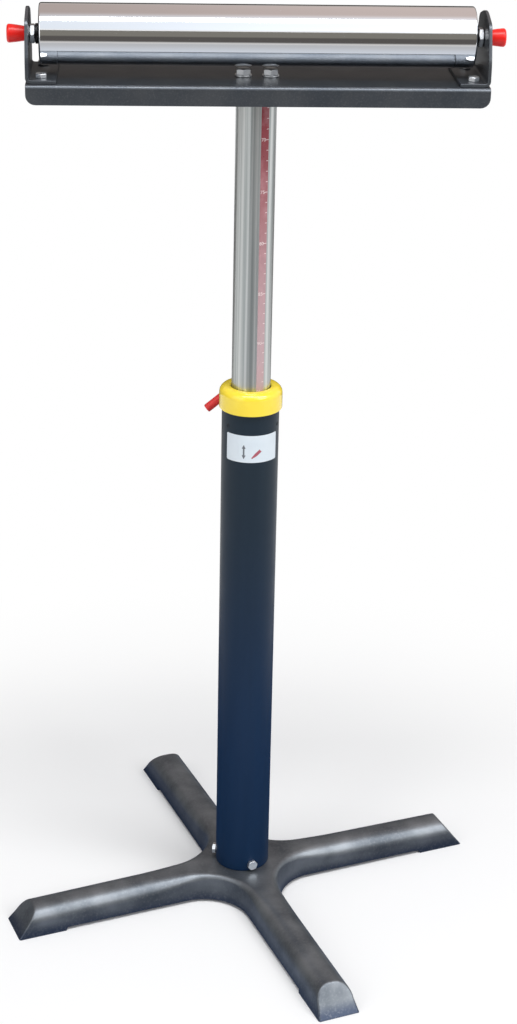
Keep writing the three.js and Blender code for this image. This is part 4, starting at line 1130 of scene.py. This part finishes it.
def stage_sheet(name, middle, across, up, material):
    """A flat rectangle of the studio from its middle and two half sides, in metres."""
    middle, across, up = Vector(middle), Vector(across), Vector(up)
    bm = bmesh.new()
    corners = (middle - across - up, middle + across - up, middle + across + up, middle - across + up)
    bm.faces.new([bm.verts.new(corner) for corner in corners])
    mesh = bpy.data.meshes.new(name)
    bm.to_mesh(mesh)
    bm.free()
    mesh.materials.append(material)
    sheet = bpy.data.objects.new(name, mesh)
    bpy.context.scene.collection.objects.link(sheet)
    return sheet


def white_to_the_eye(tree):
    """One for camera, mirror and clear-surface rays, and nothing for the rays that light the scene."""
    path = add(tree, "ShaderNodeLightPath", {}, {})
    mirrored = add(tree, "ShaderNodeMath", {"operation": "MAXIMUM"}, {
        0: path.outputs["Is Camera Ray"], 1: path.outputs["Is Glossy Ray"]})
    seen = add(tree, "ShaderNodeMath", {"operation": "MAXIMUM"}, {
        0: mirrored.outputs["Value"], 1: path.outputs["Is Transmission Ray"]})
    return seen.outputs["Value"]


def pale_floor():
    # Matt white studio paper, lit near the stand and plain white further off
    material, tree, shader, place = new_finish("matt_white_paper", {"Roughness": 0.9, "IOR": 1.3})
    material.cycles.emission_sampling = "NONE"
    mottle = add(tree, "ShaderNodeTexNoise", {}, {"Vector": place, "Scale": repeats(400), "Detail": 2})
    tone = add(tree, "ShaderNodeMix", {"data_type": "RGBA"}, {
        MIX_SHARE: mottle.outputs["Fac"], MIX_FIRST: linear("#f4f4f5"), MIX_SECOND: linear("#f8f8f8")})
    tree.links.new(tone.outputs[MIX_RESULT], shader.inputs["Base Color"])
    away = add(tree, "ShaderNodeVectorMath", {"operation": "LENGTH"}, {0: place})
    far = add(tree, "ShaderNodeMapRange", {"interpolation_type": "SMOOTHSTEP"}, {
        "Value": away.outputs["Value"], "From Min": FLOOR_LIT, "From Max": FLOOR_PLAIN})
    share = add(tree, "ShaderNodeMath", {"operation": "MULTIPLY"}, {
        0: white_to_the_eye(tree), 1: far.outputs["Result"]})
    plain = add(tree, "ShaderNodeEmission", {}, {})
    mixed = add(tree, "ShaderNodeMixShader", {}, {
        0: share.outputs["Value"], 1: shader.outputs["BSDF"], 2: plain.outputs["Emission"]})
    tree.links.new(mixed.outputs["Shader"], tree.nodes["Material Output"].inputs["Surface"])
    stage_sheet("studio_floor", (0, 0, -0.0002), (FLOOR_HALF, 0, 0), (0, FLOOR_HALF, 0), material)


def board(name, middle, across, up, fade, glow=("X", 0, 1, 1, 1)):
    """A board of the room that shows only in shiny surfaces; its tone fades along an axis, and so does its glow."""
    material = bpy.data.materials.new(name)
    material.use_nodes = True
    material.cycles.emission_sampling = "NONE"
    tree = material.node_tree
    tree.nodes.remove(tree.nodes["Principled BSDF"])
    place = add(tree, "ShaderNodeTexCoord", {}, {}).outputs["Object"]
    along = add(tree, "ShaderNodeSeparateXYZ", {}, {"Vector": place})
    axis, start, end, first, second = fade
    share = add(tree, "ShaderNodeMapRange", {"interpolation_type": "SMOOTHSTEP"}, {
        "Value": along.outputs[axis], "From Min": start, "From Max": end})
    tone = add(tree, "ShaderNodeMix", {"data_type": "RGBA"}, {
        MIX_SHARE: share.outputs["Result"], MIX_FIRST: linear(first), MIX_SECOND: linear(second)})
    axis, start, end, least, most = glow
    strength = add(tree, "ShaderNodeMapRange", {"interpolation_type": "SMOOTHSTEP"}, {
        "Value": along.outputs[axis], "From Min": start, "From Max": end, "To Min": least, "To Max": most})
    lit = add(tree, "ShaderNodeEmission", {}, {
        "Color": tone.outputs[MIX_RESULT], "Strength": strength.outputs["Result"]})
    tree.links.new(lit.outputs["Emission"], tree.nodes["Material Output"].inputs["Surface"])
    sheet = stage_sheet(name, middle, across, up, material)
    sheet.visible_camera = False
    sheet.visible_diffuse = False
    sheet.visible_shadow = False


def room():
    """Walls and ceiling round the stand, for the chrome to show; the right side stays open and white."""
    middle_y = (ROOM_FRONT + ROOM_BACK) / 2
    half_depth = (ROOM_BACK - ROOM_FRONT) / 2
    half_height = ROOM_HEIGHT / 2
    wall_up = (0, 0, half_height)
    rise = (FRONT_WALL_HEIGHT - FRONT_WALL_FOOT) / 2
    card_reach = (FLOOR_CARD - FRONT_WALL) / 2
    board("floor_card", (0, FRONT_WALL + card_reach, 0.001), (FRONT_WALL_HALF, 0, 0), (0, card_reach, 0),
          ("Y", -1.7, -0.3, "#c6c6c8", "#dfe4ec"))
    # Painted shade: a dark slate-blue card under the base, seen only in shiny surfaces, stands in for a shaded blue
    # floor that darkens the arms' sides
    board("painted_floor_shade_card", (0, 0.15, 0.0005), (0.45, 0, 0), (0, 0.44, 0),
          ("Y", -0.25, 0.1, "#8c99b0", "#36486a"))
    board("front_wall_foot", (0, FRONT_WALL, FRONT_WALL_FOOT / 2), (FRONT_WALL_HALF, 0, 0), (0, 0, FRONT_WALL_FOOT / 2),
          ("Z", 0.1, FRONT_WALL_FOOT, "#dcd9d6", "#5c5855"))
    board("front_wall", (0, FRONT_WALL, FRONT_WALL_FOOT + rise), (FRONT_WALL_HALF, 0, 0), (0, 0, rise),
          ("Z", 0.94, 1.14, "#5c5855", "#837f77"))
    board("ceiling", (0, middle_y, ROOM_HEIGHT), (ROOM_HALF, 0, 0), (0, half_depth, 0),
          ("Y", -1.3, 0.4, "#f3f8ff", "#b9aaa4"), ("X", -0.5, 0.6, 1, CEILING_GLOW))
    board("ceiling_panel", (2.3, -2.75, ROOM_HEIGHT - 0.05), (1.7, 0, 0), (0, 1.75, 0),
          ("Y", -4.5, -1, "#ffffff", "#f3f8ff"), ("X", 0.6, 1.2, CEILING_GLOW, PANEL_GLOW))
    board("back_wall", (0, ROOM_BACK, half_height), (ROOM_HALF, 0, 0), wall_up,
          ("Z", 2.05, 2.7, "#3a3735", "#c4bab4"))
    board("left_wall", (-ROOM_HALF, middle_y, half_height), (0, half_depth, 0), wall_up,
          ("Z", 0.9, 1.3, "#625e5a", "#837f77"))
    board("right_board", (3.9, -4.1, 1.45), (1.8, 1.73, 0), (0, 0, 1.45), ("Z", 0, 2.9, "#6f6b69", "#787472"))
    board("rear_board", (0, REAR_BOARD, REAR_BOARD_HEIGHT / 2), (2.2, 0, 0), (0, 0, REAR_BOARD_HEIGHT / 2),
          ("Z", 0, REAR_BOARD_HEIGHT, "#6f6b69", "#787472"))


def softbox(name, place, target, width, depth, power):
    """A soft lamp; place, target and sizes in metres."""
    lamp = bpy.data.lights.new(name, "AREA")
    lamp.shape = "RECTANGLE"
    lamp.size = width
    lamp.size_y = depth
    lamp.energy = power
    holder = bpy.data.objects.new(name, lamp)
    holder.location = place
    holder.rotation_euler = (Vector(target) - Vector(place)).to_track_quat("-Z", "Y").to_euler()
    bpy.context.scene.collection.objects.link(holder)


def studio_world():
    """White to the eye and in shiny surfaces; a soft even light for the rest."""
    world = bpy.data.worlds.new("studio_room")
    world.use_nodes = True
    bpy.context.scene.world = world
    tree = world.node_tree
    tone = add(tree, "ShaderNodeMix", {"data_type": "RGBA"}, {
        MIX_SHARE: white_to_the_eye(tree), MIX_FIRST: ROOM_LIGHT, MIX_SECOND: (1, 1, 1, 1)})
    tree.links.new(tone.outputs[MIX_RESULT], tree.nodes["Background"].inputs["Color"])


photo_camera()
pale_floor()
studio_world()
room()
softbox("ceiling_softbox", (0.6, -0.9, 3.1), (0.6, 0, 0.3), 3.6, 0.6, 66)
softbox("window_softbox", (4.2, -4.4, 4.2), (0, 0, 0.3), 3.4, 2.6, 122)
softbox("side_softbox", (-2.2, -1.6, 1.6), (0, 0, 0.6), 2, 2, 15)
bpy.context.scene.view_settings.view_transform = "Standard"
